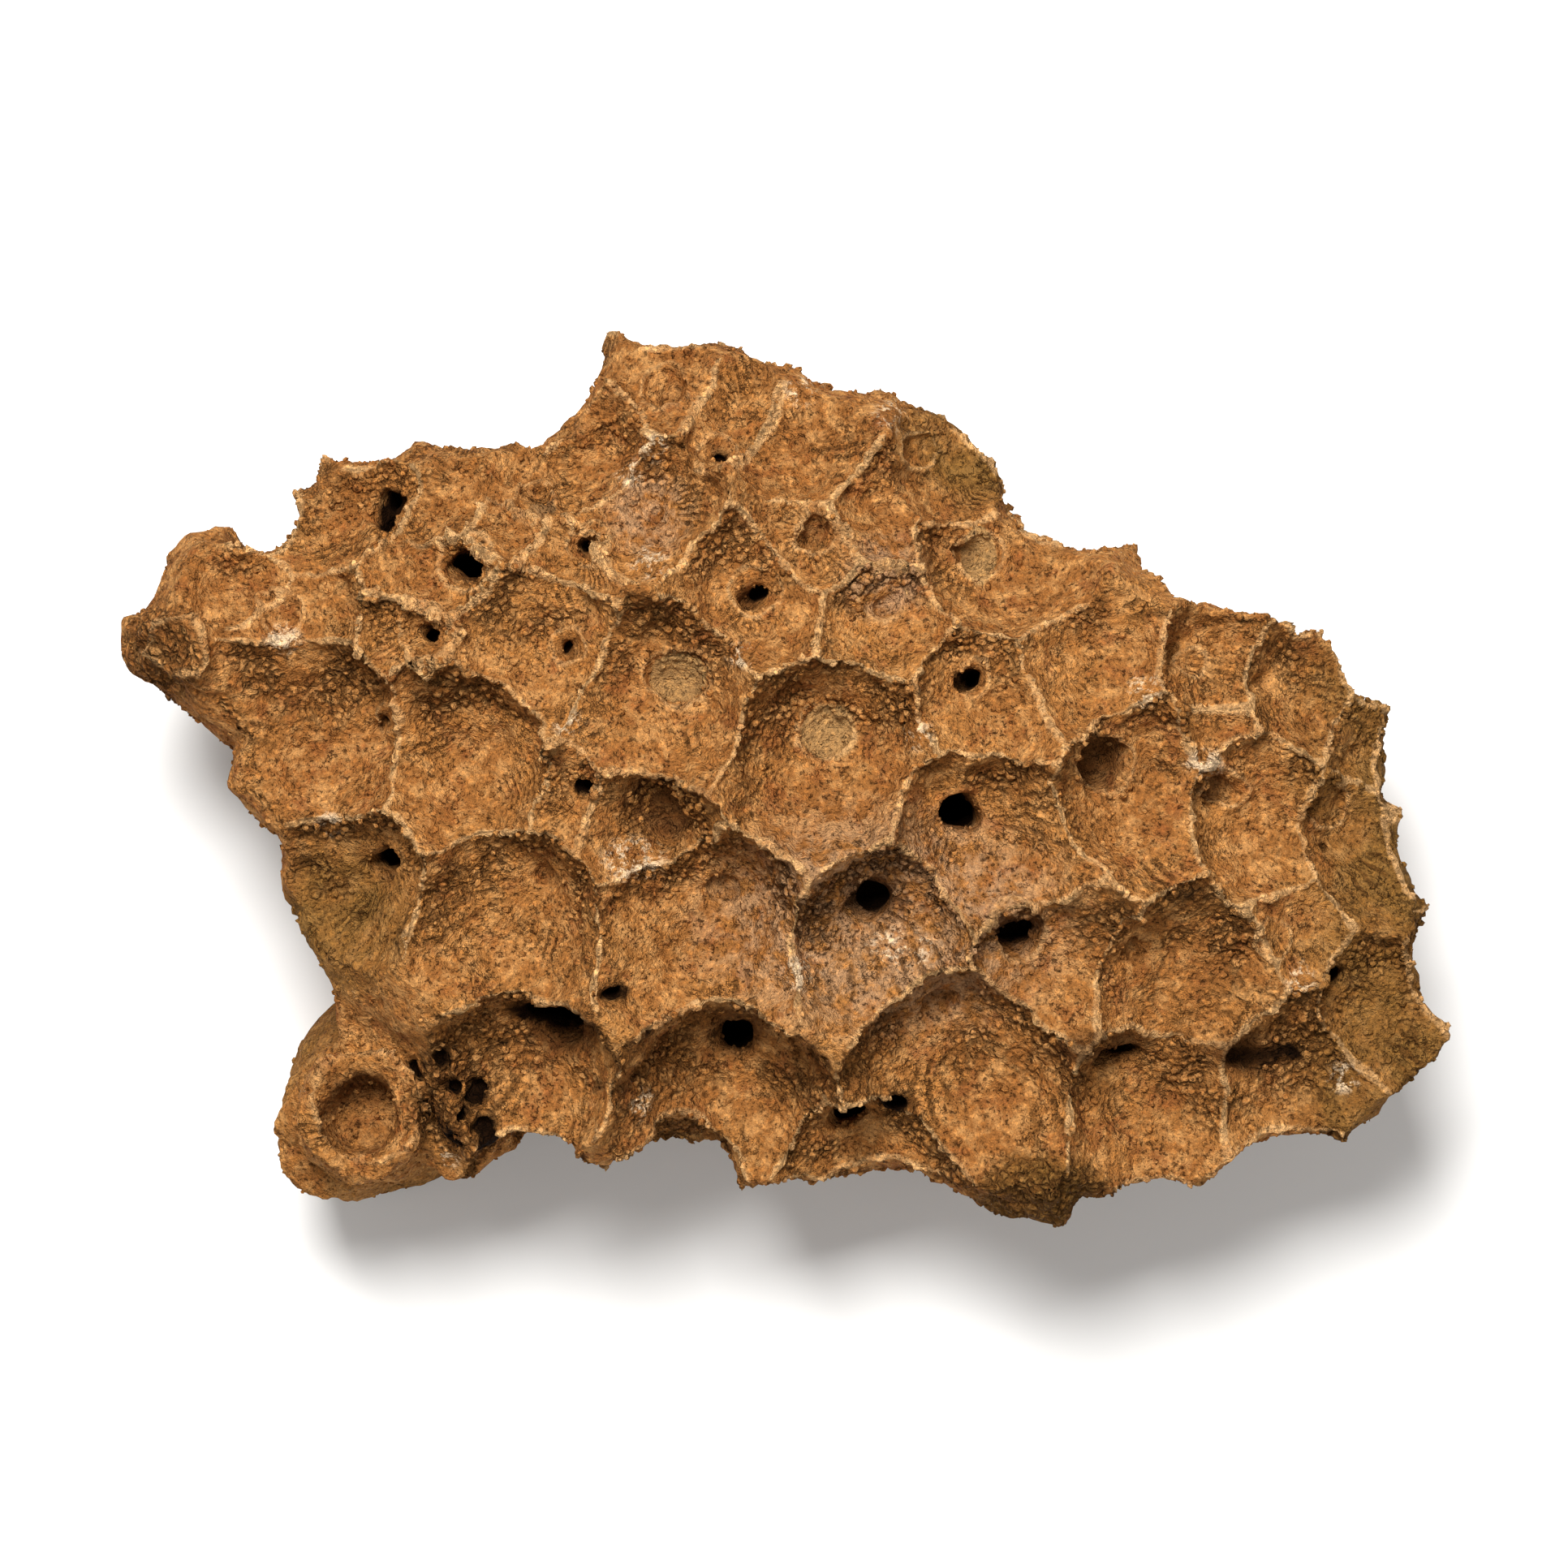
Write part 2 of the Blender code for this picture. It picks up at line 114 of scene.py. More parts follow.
# Stalks that stand apart: foot, mouth, radius at the foot and at the mouth
Stalk = namedtuple("Stalk", "foot mouth foot_radius mouth_radius")
STALKS = [Stalk(*row) for row in (
    ((-0.0368, -0.0285, -0.0020), (-0.0384, -0.0302, 0.0330), 0.0098, 0.0054),
    ((-0.0240, -0.0140, 0.0090), (-0.0345, -0.0222, 0.0330), 0.0105, 0.0066),
    ((-0.0225, -0.0180, 0.0090), (-0.0320, -0.0304, 0.0300), 0.0100, 0.0062),
    ((-0.0330, -0.0250, -0.0020), (-0.0418, -0.0330, 0.0240), 0.0090, 0.0054),
)]
STALK_SIDES = 48
STALK_BOWL_RADIUS = 0.0046
STALK_BOWL_DEPTH = 0.0012
STALK_PIT_RADIUS = 0.0039
STALK_PIT_DEPTH = 0.0050

# Calices on top: the middle of the floor, the bowl's radius at its ridge, the pit's radius and depth, and how
# much steeper than usual the bowl is
Calice = namedtuple("Calice", "x y radius pit_radius pit_depth steepness")
CALICES = [Calice(*metres(row[:-1]), row[-1]) for row in (
    # Upper left
    (-355, 245, 56, 18, 50, 1.2), (-395, 165, 54, 10, 8, 1.0), (-450, 190, 36, 0, 0, 1.6),
    (-365, 53, 78, 14, 12, 1.0), (-318, 128, 40, 13, 18, 1.2), (-286, 195, 46, 20, 60, 1.3),
    (-290, 265, 44, 0, 0, 1.0), (-226, 245, 40, 10, 16, 1.3), (-176, 208, 42, 11, 20, 1.2),
    (-166, 288, 52, 0, 0, 1.2), (-195, 120, 66, 12, 10, 1.0), (-252, 35, 74, 14, 10, 1.0),
    # Top and middle
    (-105, 350, 54, 12, 12, 1.1), (-35, 325, 44, 0, 0, 1.0), (-116, 240, 54, 10, 8, 1.3),
    (-27, 168, 56, 12, 22, 1.0), (-98, 86, 72, 26, 6, 1.0), (24, 225, 52, 18, 14, 1.0),
    (10, 305, 50, 10, 10, 0.8), (90, 250, 46, 10, 10, 0.8), (150, 285, 52, 0, 0, 0.8),
    (86, 158, 56, 12, 8, 1.0), (36, 40, 76, 24, 4, 1.0),
    # Upper right
    (168, 208, 62, 18, 16, 1.1), (166, 88, 62, 12, 34, 1.0), (245, 120, 66, 12, 6, 0.8),
    (356, 112, 52, 12, 12, 1.2), (362, 60, 44, 12, 12, 1.0), (436, 92, 58, 12, 8, 1.1),
    (505, 50, 44, 0, 0, 1.0), (284, 14, 74, 26, 26, 1.0), (393, -8, 76, 18, 18, 1.1),
    (484, -25, 58, 12, 12, 1.0),
    # Left and middle of the front
    (-356, -70, 70, 20, 50, 1.0), (-210, -85, 80, 14, 12, 1.0), (-177, -5, 36, 10, 20, 1.4),
    (-110, -22, 56, 34, 22, 1.8), (-205, -215, 86, 30, 34, 1.1), (-60, -92, 86, 18, 12, 0.9),
    (75, -105, 70, 20, 24, 1.1), (-42, -228, 102, 21, 30, 0.9), (62, -298, 76, 18, 26, 1.0),
    # Right of the front
    (134, -205, 98, 20, 14, 0.8), (210, -136, 70, 22, 24, 1.1), (152, -28, 80, 21, 44, 1.0),
    (320, -146, 88, 14, 10, 0.8), (430, -110, 64, 12, 8, 1.0), (495, -178, 70, 16, 30, 1.0),
    (290, -243, 82, 20, 14, 1.0), (408, -236, 82, 22, 16, 0.7),
)]

# The point below the mound from which the corallites fan out
ROOT = Vector((0.0, 0.0120, -0.0050))

# Every bowl follows one curve, and its ridge lies this far under the mound's own surface
USUAL_RADIUS = 0.0073
USUAL_DEPTH = 0.0046
BOWL_POWER = 2.1
BOWL_RINGS = (1.6, 1.4, 1.2, 1.1, 1.0, 0.9, 0.8, 0.7, 0.6, 0.5, 0.4)
LID_FLARE = 1.1
LID_CLEARANCE = 0.0120
SINK = 0.0056
PIT_EDGE = 1.1
PIT_TAPER = 0.72
PIT_FLOOR = 1.1
OVALNESS = 0.07
BOWL_SIDES = 48

# Hollows on the rim, and the row of calices low on the sides
HOLLOW_HEIGHT = 0.0310
HOLLOW_STRETCH = 2.5
HOLLOW_WIDTH = 0.52
LOW_ROW_COUNT = 21
LOW_ROW_HEIGHT = 0.0140
LOW_ROW_SHIFT = 0.0020
LOW_ROW_RADIUS = 0.0056
LOW_ROW_DEPTH = 0.0026
LOW_ROW_TILT = radians(-12)

# The slow unevenness of the whole surface, and the way from the drawing's middle to the box's middle
WARP_REACH = 0.0014
WARP_SIZE = 0.011
WARP_FADE = 0.006
WARP_OFFSETS = (Vector((0, 0, 0)), Vector((31.4, 0, 0)), Vector((0, 27.2, 0)))
CENTRING = Vector((-0.000245, -0.000388, 0.0))

# Small holes seen from above: middle, half width, half height and depth
Hole = namedtuple("Hole", "x y across along depth")
HOLES = [Hole(*metres(row, HUNDREDTHS)) for row in (
    # Upper left
    (-3540, 2520, 75, 120, 700), (-3600, 2310, 65, 145, 800), (-2860, 1920, 175, 145, 900),
    (-3190, 1310, 125, 115, 350), (-3570, 560, 60, 36, 150), (-1760, 2080, 88, 80, 300),
    (-5020, 1310, 60, 50, 200), (-4740, 1420, 75, 65, 250), (-5680, 1240, 45, 45, 200),
    (-5580, 1090, 60, 50, 200), (-1950, 1200, 88, 73, 200),
    # Top and middle
    (-270, 1680, 110, 95, 300), (-1060, 3630, 60, 60, 150), (-1080, 3370, 60, 50, 150),
    (-640, 2920, 88, 73, 300), (1140, 2960, 60, 50, 200),
    # Upper right
    (1570, 1820, 50, 45, 200), (1750, 1740, 45, 45, 200), (1660, 880, 88, 95, 700),
    (3620, 1040, 60, 45, 200), (3630, 660, 65, 60, 150), (4850, -180, 60, 45, 200),
    (4800, -310, 45, 36, 200), (4890, -640, 50, 50, 200),
    # Left and middle of the front
    (-3560, -690, 205, 110, 800), (-3850, -1260, 88, 60, 200), (-3430, -1460, 60, 50, 200),
    (-3350, -1640, 50, 45, 200), (-3240, -1750, 45, 36, 150), (-1770, -50, 110, 88, 400),
    (-2050, -2080, 360, 175, 1000), (-1570, -1920, 130, 73, 400), (-1370, -2210, 50, 45, 200),
    (-1240, -2210, 45, 45, 200), (-1530, -2390, 50, 88, 250), (-1700, -2790, 60, 100, 250),
    (-1480, -2770, 45, 45, 200), (-2760, -2390, 160, 50, 300), (810, -1040, 195, 145, 500),
    (-460, -2310, 185, 160, 800), (570, -3000, 195, 115, 800), (1000, -2920, 125, 95, 600),
    # Right of the front
    (2060, -1350, 195, 160, 400), (2120, -1640, 65, 50, 250), (1530, -280, 205, 195, 1100),
    (3140, -1440, 65, 50, 200), (3450, -1010, 190, 36, 200), (4930, -1770, 145, 115, 700),
    (2830, -2420, 365, 85, 200), (4180, -2500, 380, 90, 120), (4110, -2700, 80, 60, 200),
    (3270, -990, 88, 45, 200),
)]
HOLE_SIDES = 14
HOLE_TAPER = 0.75
HOLE_LEAN = 0.35
HOLE_WOBBLE = 0.24
DRILL_START = 0.1

# The crumbly patch beside the stalk, riddled with small holes
CRUMBLY = Vector((-0.0303, -0.0292))
CRUMBLY_REACH = Vector((0.0042, 0.0054))
CRUMBLY_HOLES = 30
CRUMBLY_SIZES = (0.0004, 0.0010)
CRUMBLY_DEPTH = 0.002

# Low rims round pits seen from above: middle, radius and height
Rim = namedtuple("Rim", "x y radius height")
RIMS = [Rim(*metres(row)) for row in (
    (-319, 131, 26, 13), (-286, 194, 27, 9), (-176, 208, 19, 9), (-195, 120, 17, 7), (-27, 168, 23, 11),
    (24, 219, 21, 11), (-228, 245, 20, 11), (114, 296, 18, 9), (173, 200, 26, 11), (362, 104, 14, 7),
    (283, 15, 29, 11), (393, -7, 21, 9), (166, 88, 16, 7), (37, 42, 26, 5), (-357, 56, 13, 7),
    (-97, 91, 30, 7), (206, -135, 26, 9), (-106, 350, 24, 9), (-450, 150, 22, 11), (-545, 120, 21, 11),
    (436, -142, 18, 7), (-64, 292, 19, 7), (485, -22, 22, 7), (85, 160, 22, 7), (-381, -299, 49, 12),
)]
RIM_WIDTH = 0.00042
RIM_SHARE = 0.75
RIM_SLOPE = (0.1, 0.5)

# The skin's even faces, how many are kept, and how much harder they are thinned on the sides and the base
SKIN_VOXEL = 0.0004
SKIN_FACES = 194000
BOX_CLEARANCE = 0.00002
LOWEST_FINE = 0.020
LOW_FADE = 0.006
DOWNWARD = 0.2
LOW_THINNING = 0.0002
TOP_THINNING = 0.75

# Roughness: how wide its lumps are, how far they push the skin, and how it fades out to the flat base
ROUGH_SIZE = 0.0026
ROUGH_REACH = 0.0003
GRAIN_SIZE = 0.00085
GRAIN_REACH = 0.00016
CRUMBLE_SIZE = GRAIN_SIZE * 1.6
CRUMBLE_REACH = 0.0004
MOST_CRUMBLE = 0.25
CREST_REACH = 0.00036
CREST_RIDGE = (0.45, 1.0)
TURRET_REACH = 0.0006
TURRET_RADIUS = 0.0047
TURRET_UPRIGHT = 0.7
WAVER_SIZE = 0.0034
WAVER_REACH = 0.00075
STALK_WAVER = 0.3
CRAG_SIZE = 0.0012
CRAG_WIDTH = 0.28
CRAG_REACH = 0.00045
BASE_FADE = (0.0005, 0.003)

# Septa: how far out in a calice they start and end, in shares of its radius
SEPTA = 34
SEPTUM_REACH = 0.00013
SEPTA_START = (0.3, 0.6)
SEPTA_END = (1.3, 1.5)

# Beads on the septa, in patches on the walls that face the front
BEAD_ROWS = 9
BEAD_FIRST = 0.34
BEAD_STEP = 0.115
BEAD_RADIUS = 0.00036
BEAD_LIFT = 0.018
BEAD_PATCH = 0.0055
BEAD_PATCHES = (-0.30, 0.15)
BEAD_SLOPE = (0.25, -0.45)
BEADS_START = (0.28, 0.42)
BEADS_END = (1.3, 1.45)
SPOKE_SHAKE = 0.14
ROW_SHAKE = 0.22
OWN_CALICE = 0.5

# Loose grains
GRAIN_DENSITY = 1300000.0
GRAIN_RADIUS = 0.00024
GRAIN_PATCH = 0.004

# Where a point of the skin counts as part of a pit, a wall, a ridge or a hole, and how deep the painted shade
# in pits and holes grows to full
PIT_REACH = 1.15
WALL_REACH = 0.0005
RIDGE_CORE = 0.00012
RIDGE_REACH = 0.0007
PIT_SHADE_DEPTH = 0.003
STALK_PIT_SHADE = 0.3
HOLE_SHADE_DEPTH = 0.0014
HOLE_EDGE = 1.35
FAR = 1.0

# Marks seen from above: middle, half width and half height
ZONES = {name: [metres(row) for row in rows] for name, rows in {
    "patina": (
        (85, -128, 210, 130), (-122, 237, 50, 50), (86, 179, 50, 50),
    ),
    # Olive-brown, partly the stone's own colour and partly painted dimming of far, low parts
    "olive": (
        (175, 310, 90, 80), (-400, -124, 80, 90), (520, -296, 60, 50), (226, -375, 80, 50),
    ),
    "pale": (
        (-451, 126, 20, 18), (-119, 296, 16, 16), (-141, 274, 16, 16), (-122, 193, 22, 20),
        (13, 349, 18, 18), (93, 328, 18, 18), (-38, 110, 18, 14), (-195, 50, 16, 14), (117, 39, 16, 16),
        (-137, -71, 35, 26), (13, -172, 22, 20), (104, -150, 40, 24), (374, 15, 22, 16), (319, 80, 18, 18),
        (462, -179, 16, 18), (505, -270, 18, 18), (-130, -292, 14, 18), (-308, -343, 14, 14),
        (-411, -39, 14, 14),
    ),
    "plug": (
        (-97, 91, 34, 29), (37, 42, 32, 32), (173, 201, 20, 34),
    ),
    # Worn patches, whose gaps are darkened with painted shade like the beaded walls
    "worn": (
        (226, -372, 75, 45), (-565, 110, 50, 60),
    ),
    # Painted dimming: the top and the upper left are darkened as if less lit
    "painted_dimming": (
        (20, 330, 300, 170), (-540, 130, 120, 130), (-330, 250, 160, 100),
    ),
    # Painted shade in the recesses under the ridges of the front calices
    "shaded": (
        (-111, -20, 52, 30), (-389, -281, 36, 26), (-205, -226, 52, 34), (283, -241, 58, 22),
        (418, -247, 56, 26), (80, -104, 34, 30), (-46, -228, 36, 32), (206, -135, 34, 30),
        (283, 15, 30, 32),
    ),
}.items()}
ZONES["worn"].append((*CRUMBLY, *CRUMBLY_REACH * 1.3))
# How strongly the painted dimming lowers the tone
PAINTED_DIMMING_SHARE = 2.8
SHADED_SHARE = 0.85
MARK_CORE = 0.45

# Where the low sides turn olive-brown and the pale marks end, by height, and the right edge turns
# olive-brown, by length; the olive-brown is partly painted dimming
OLIVE_LOW = (0.012, 0.030)
OLIVE_LOW_SHARE = 0.7
OLIVE_EDGE = (0.042, 0.054)
PALE_LOW = (0.018, 0.026)

# Colours of the stone, and the painted shade, dimming and glints laid on it
OCHRE = (0.365, 0.155, 0.041, 1)
BROWN = (0.262, 0.102, 0.026, 1)
TAN = (0.455, 0.220, 0.072, 1)
RUST = (0.215, 0.070, 0.019, 1)
# Painted shade in crevices, grooves and gaps
CREVICE_PAINTED_SHADE = (0.070, 0.026, 0.006, 1)
GREY_PINK = (0.350, 0.200, 0.105, 1)
# Olive-brown, partly painted dimming
OLIVE_AND_PAINTED_DIMMING = (0.150, 0.078, 0.018, 1)
PLUG_CREAM = (0.357, 0.205, 0.078, 1)
# Pale ridge tops, partly the stone's colour and partly painted highlight
RIDGE_PALE_AND_HIGHLIGHT = (0.620, 0.350, 0.145, 1)
CREAM = (0.740, 0.540, 0.340, 1)
PORE_DARK = (0.030, 0.011, 0.004, 1)
# Painted shade deep in the pits
PIT_PAINTED_SHADE = (0.070, 0.024, 0.007, 1)
# Painted shade inside the drilled holes
HOLE_PAINTED_SHADE = (0.011, 0.004, 0.001, 1)
# Painted glints
PAINTED_GLINT = (1.50, 1.44, 1.30, 1)

# Sizes of the stone's mottling, from wide to fine, and how high its bumps stand
CLOUD_SIZE = 0.0065
STAIN_SIZE = 0.0030
MOTTLE_SIZE = 0.0017
BEND_SIZE = 0.0012
BEND_REACH = 0.0009
LUMP_SIZE = 0.00095
SAND_SIZE = 0.0005
FLECK_SIZE = 0.00048
DUST_SIZE = 0.00018
BUMP_HEIGHT = 0.0007
SEPTA_WAVER = 7.0

# Floor, lights and camera
FLOOR_REACH = 3.0
FLOOR_COLOUR = (0.80, 0.79, 0.77, 1)
FLOOR_ROUGHNESS = 0.9
LIGHT_TARGET = Vector((0, 0, 0.03))
MAIN_POWER = 14.0
FILL_POWER = 3.0
WORLD_STRENGTH = 0.35
SENSOR = 36.0
CAMERA_HEIGHT = 0.85
SHARP_HEIGHT = 0.038
VIEW_WIDTH = 0.14104

# Filled while the skin is grown: each bowl cut, in order with the stalk's last, and each hole drilled
Bowl = namedtuple("Bowl", "place radius depth pit_radius")
bowls = []
drilled = []


def outline_marks():
    """Compass direction and distance of each outline point from the mound's top, once round."""
    marks = sorted((atan2(y - TOP.y, x - TOP.x), hypot(x - TOP.x, y - TOP.y)) for x, y, hollow in OUTLINE)
    return marks + [(marks[0][0] + tau, marks[0][1])]


MARKS = outline_marks()


def mound_radius(angle):
    """Distance from the mound's top to its outline, in one compass direction."""
    angle = MARKS[0][0] + (angle - MARKS[0][0]) % tau
    for (start, near), (end, far) in zip(MARKS, MARKS[1:]):
        if angle <= end:
            return near + (far - near) * (angle - start) / (end - start)
    return MARKS[-1][1]


def outline_point(angle):
    return TOP + mound_radius(angle) * Vector((cos(angle), sin(angle)))


def dome_share(distance, angle):
    """Height of the dome above its rim, from 1 at the top to 0 at the outline."""
    power = SLOPE_POWER_FRONT + (SLOPE_POWER_BACK - SLOPE_POWER_FRONT) * max(0.0, sin(angle))
    return (1 - min(distance, 1.0) ** power) ** (1 / power)


def mound_height(x, y):
    """Height of the mound's top side over one point."""
    angle = atan2(y - TOP.y, x - TOP.x)
    distance = hypot(x - TOP.x, y - TOP.y) / mound_radius(angle)
    return RIM_HEIGHT + DOME_HEIGHT * dome_share(min(distance, EDGE_SHARE), angle)


def underside_point(edge, depth):
    """A point below the rim: the outline passes into an oval foot as it goes down."""
    foot = Vector((edge.x, edge.y * FOOT_WIDE / FOOT_DEEP)).normalized()
    foot = Vector((foot.x * FOOT_WIDE, foot.y * FOOT_DEEP))
    flat = edge.lerp(foot, depth ** TUCK_POWER)
    return Vector((flat.x, flat.y, RIM_HEIGHT - UNDERSIDE_DEPTH * depth))


def add_object(data, name, collection=None):
    """A new object in the scene or a collection, from a mesh, a light, a camera or a finished bmesh."""
    if isinstance(data, bmesh.types.BMesh):
        shape, data = data, bpy.data.meshes.new(name)
        shape.to_mesh(data)
        shape.free()
    thing = bpy.data.objects.new(name, data)
    (collection or bpy.context.scene.collection).objects.link(thing)
    return thing


def new_collection(name):
    collection = bpy.data.collections.new(name)
    bpy.context.scene.collection.children.link(collection)
    return collection


def grow_mound():
    """A ball drawn out to the colony's outline, domed above its rim and tucked in below it."""
    shape = bmesh.new()
    sides = len(OUTLINE) * MOUND_SPLITS
    bmesh.ops.create_uvsphere(shape, u_segments=sides, v_segments=MOUND_RINGS, radius=1)
    lowest = min(vertex.co.z for vertex in shape.verts)
    for vertex in shape.verts:
        x, y, z = vertex.co
        step = round(atan2(y, x) / tau * sides) % sides
        whole, part = divmod(step, MOUND_SPLITS)
        angle = MARKS[whole][0] + (MARKS[whole + 1][0] - MARKS[whole][0]) * part / MOUND_SPLITS
        spread = min(hypot(x, y), 1.0)
        if z == lowest:
            vertex.co = (0, 0, RIM_HEIGHT - UNDERSIDE_DEPTH)
        elif z < 0:
            vertex.co = underside_point(outline_point(angle), -z)
        else:
            flat = TOP.lerp(outline_point(angle), spread)
            vertex.co = (flat.x, flat.y, RIM_HEIGHT + DOME_HEIGHT * dome_share(spread, angle))
    return add_object(shape, "colony_skin")


def leaning(axis):
    """Turns a shape that stands upright so that it points along an axis."""
    lean = atan2(hypot(axis.x, axis.y), axis.z)
    return Matrix.Rotation(atan2(axis.y, axis.x), 4, "Z") @ Matrix.Rotation(lean, 4, "Y")


def grow_stalk(stalk, collection):
    """The outer wall of a corallite that stands apart, wide at its foot and narrow at its mouth."""
    foot, mouth = Vector(stalk.foot), Vector(stalk.mouth)
    shape = bmesh.new()
    bmesh.ops.create_cone(shape, cap_ends=True, segments=STALK_SIDES, radius1=stalk.foot_radius,
                          radius2=stalk.mouth_radius, depth=(mouth - foot).length)
    turn = leaning(mouth - foot)
    bmesh.ops.transform(shape, matrix=Matrix.Translation((foot + mouth) / 2) @ turn, verts=shape.verts)
    add_object(shape, "stalk", collection)


def bowl_height(distance, radius, depth):
    return depth * (distance / radius) ** BOWL_POWER


def calice_profile(radius, depth, pit_radius=0.0, pit_depth=0.0):
    """Outer side of a bowl, from the middle of its lid down to the middle of its floor or pit."""
    mouth = radius * BOWL_RINGS[0]
    lid = max(depth + LID_CLEARANCE, bowl_height(mouth, radius, depth))
    points = [(0, lid), (mouth * LID_FLARE, lid)]
    rings = [share * radius for share in BOWL_RINGS if share * radius > pit_radius * PIT_EDGE]
    points += [(ring, bowl_height(ring, radius, depth)) for ring in rings]
    if pit_depth:
        points.append((pit_radius, bowl_height(pit_radius, radius, depth)))
        points.append((pit_radius * PIT_TAPER, -pit_depth))
    points.append((0, -pit_depth * PIT_FLOOR))
    return points


def turn_bowl(collection, floor, axis, radius, depth, dice, pit_radius=0.0, pit_depth=0.0, stretch=1.0):
    """One corallite's bowl, turned about the axis through the middle of its floor."""
    profile = calice_profile(radius, depth, pit_radius, pit_depth)
    oval = 1 + dice.uniform(-OVALNESS, OVALNESS)
    start = dice.uniform(0, tau)
    mesh = bpy.data.meshes.new("calice_bowl")
    mesh.from_pydata([(reach * cos(start), reach * sin(start), height) for reach, height in profile],
                     [(i, i + 1) for i in range(len(profile) - 1)], [])
    cutter = add_object(mesh, mesh.name, collection)
    screw = cutter.modifiers.new("turned", "SCREW")
    screw.steps = screw.render_steps = BOWL_SIDES
    screw.use_merge_vertices = True
    screw.merge_threshold = 0.00001
    place = Matrix.Translation(floor) @ leaning(axis) @ Matrix.Diagonal((oval * stretch, 1 / oval, 1, 1))
    cutter.matrix_world = place
    bowls.append(Bowl(place, radius, depth, pit_radius))


def cut_calices(collection, dice):
    """The calices on top: each leans away from the point where the corallites fan out."""
    for calice in CALICES:
        depth = calice.steepness * USUAL_DEPTH * (calice.radius / USUAL_RADIUS) ** BOWL_POWER
        floor = Vector((calice.x, calice.y, mound_height(calice.x, calice.y) - SINK - depth))
        turn_bowl(collection, floor, floor - ROOT, calice.radius, depth, dice,
                  calice.pit_radius, calice.pit_depth)


def cut_stalk(collection, dice):
    """The calice in the mouth of the first stalk."""
    mouth = Vector(STALKS[0].mouth)
    axis = (mouth - Vector(STALKS[0].foot)).normalized()
    turn_bowl(collection, mouth - axis * STALK_BOWL_DEPTH, axis, STALK_BOWL_RADIUS, STALK_BOWL_DEPTH, dice,
              STALK_PIT_RADIUS, STALK_PIT_DEPTH)


def cut_hollows(collection, dice):
    """A calice on the rim between two points of the outline, which stay behind as spikes."""
    for index, (x, y, hollow) in enumerate(OUTLINE):
        if not hollow:
            continue
        end = Vector(OUTLINE[(index + 1) % len(OUTLINE)][:2])
        chord = end - Vector((x, y))
        outward = Vector((-chord.y, chord.x)).normalized()
        middle = end - chord / 2 - outward * hollow
        turn_bowl(collection, Vector((middle.x, middle.y, HOLLOW_HEIGHT)), outward.to_3d(),
                  chord.length * HOLLOW_WIDTH, hollow, dice, stretch=HOLLOW_STRETCH)


def cut_low_row(collection, dice):
    """Calices low on the sides, all the way round."""
    depth = (RIM_HEIGHT - LOW_ROW_HEIGHT) / UNDERSIDE_DEPTH
    for index in range(LOW_ROW_COUNT):
        wall = underside_point(outline_point(tau * index / LOW_ROW_COUNT), depth)
        outward = Vector((wall.x, wall.y, 0)).normalized()
        floor = wall - outward * LOW_ROW_DEPTH
        floor.z += dice.uniform(-LOW_ROW_SHIFT, LOW_ROW_SHIFT)
        axis = outward * cos(LOW_ROW_TILT) + Vector((0, 0, sin(LOW_ROW_TILT)))
        turn_bowl(collection, floor, axis, LOW_ROW_RADIUS, LOW_ROW_DEPTH, dice)


def add_boolean(thing, operation, collection):
    cut = thing.modifiers.new(operation.lower(), "BOOLEAN")
    cut.operation = operation
    cut.solver = "MANIFOLD"
    cut.operand_type = "COLLECTION"
    cut.collection = collection


def bake(thing):
    """Replaces an object's mesh by what its modifiers make of it."""
    evaluated = thing.evaluated_get(bpy.context.evaluated_depsgraph_get())
    mesh = bpy.data.meshes.new_from_object(evaluated)
    thing.modifiers.clear()
    thing.data = mesh


def drop(collection):
    """Removes the shapes that helped to cut the skin."""
    for thing in list(collection.objects):
        bpy.data.objects.remove(thing, do_unlink=True)
    bpy.data.collections.remove(collection)


def grow_skin():
    """The colony's skin before it is roughened."""
    helpers = [new_collection(name) for name in ("stalks", "side_cutters", "top_cutters")]
    stalks, side_cutters, top_cutters = helpers
    dice = Random(SEED)
    skin = grow_mound()
    for stalk in STALKS:
        grow_stalk(stalk, stalks)
    cut_hollows(side_cutters, dice)
    cut_low_row(side_cutters, dice)
    cut_calices(top_cutters, dice)
    cut_stalk(top_cutters, dice)
    add_boolean(skin, "DIFFERENCE", side_cutters)
    add_boolean(skin, "UNION", stalks)
    add_boolean(skin, "DIFFERENCE", top_cutters)
    bake(skin)
    for collection in helpers:
        drop(collection)
    return skin


def warp_push(point):
    """How far the slow unevenness moves a point of the skin."""
    fade = min(max(point.z / WARP_FADE, 0.0), 1.0)
    push = [noise.noise(point / WARP_SIZE + offset) for offset in WARP_OFFSETS]
    return Vector(push) * WARP_REACH * fade


def warp(skin):
    """Makes the skin slowly uneven, and moves the middle of its box to the origin."""
    for vertex in skin.data.vertices:
        vertex.co += warp_push(vertex.co) + CENTRING


def unwarped(point):
    """Where a point of the skin lay before the slow unevenness."""
    point = point - CENTRING
    return point - warp_push(point - warp_push(point))


def crumbly_hole(dice):
    """One small hole somewhere in the crumbly patch."""
    angle, spread = dice.uniform(0, tau), dice.random() ** 0.5
    x = CRUMBLY.x + CRUMBLY_REACH.x * spread * cos(angle)
    y = CRUMBLY.y + CRUMBLY_REACH.y * spread * sin(angle)
    return Hole(x, y, dice.uniform(*CRUMBLY_SIZES), dice.uniform(*CRUMBLY_SIZES), CRUMBLY_DEPTH)


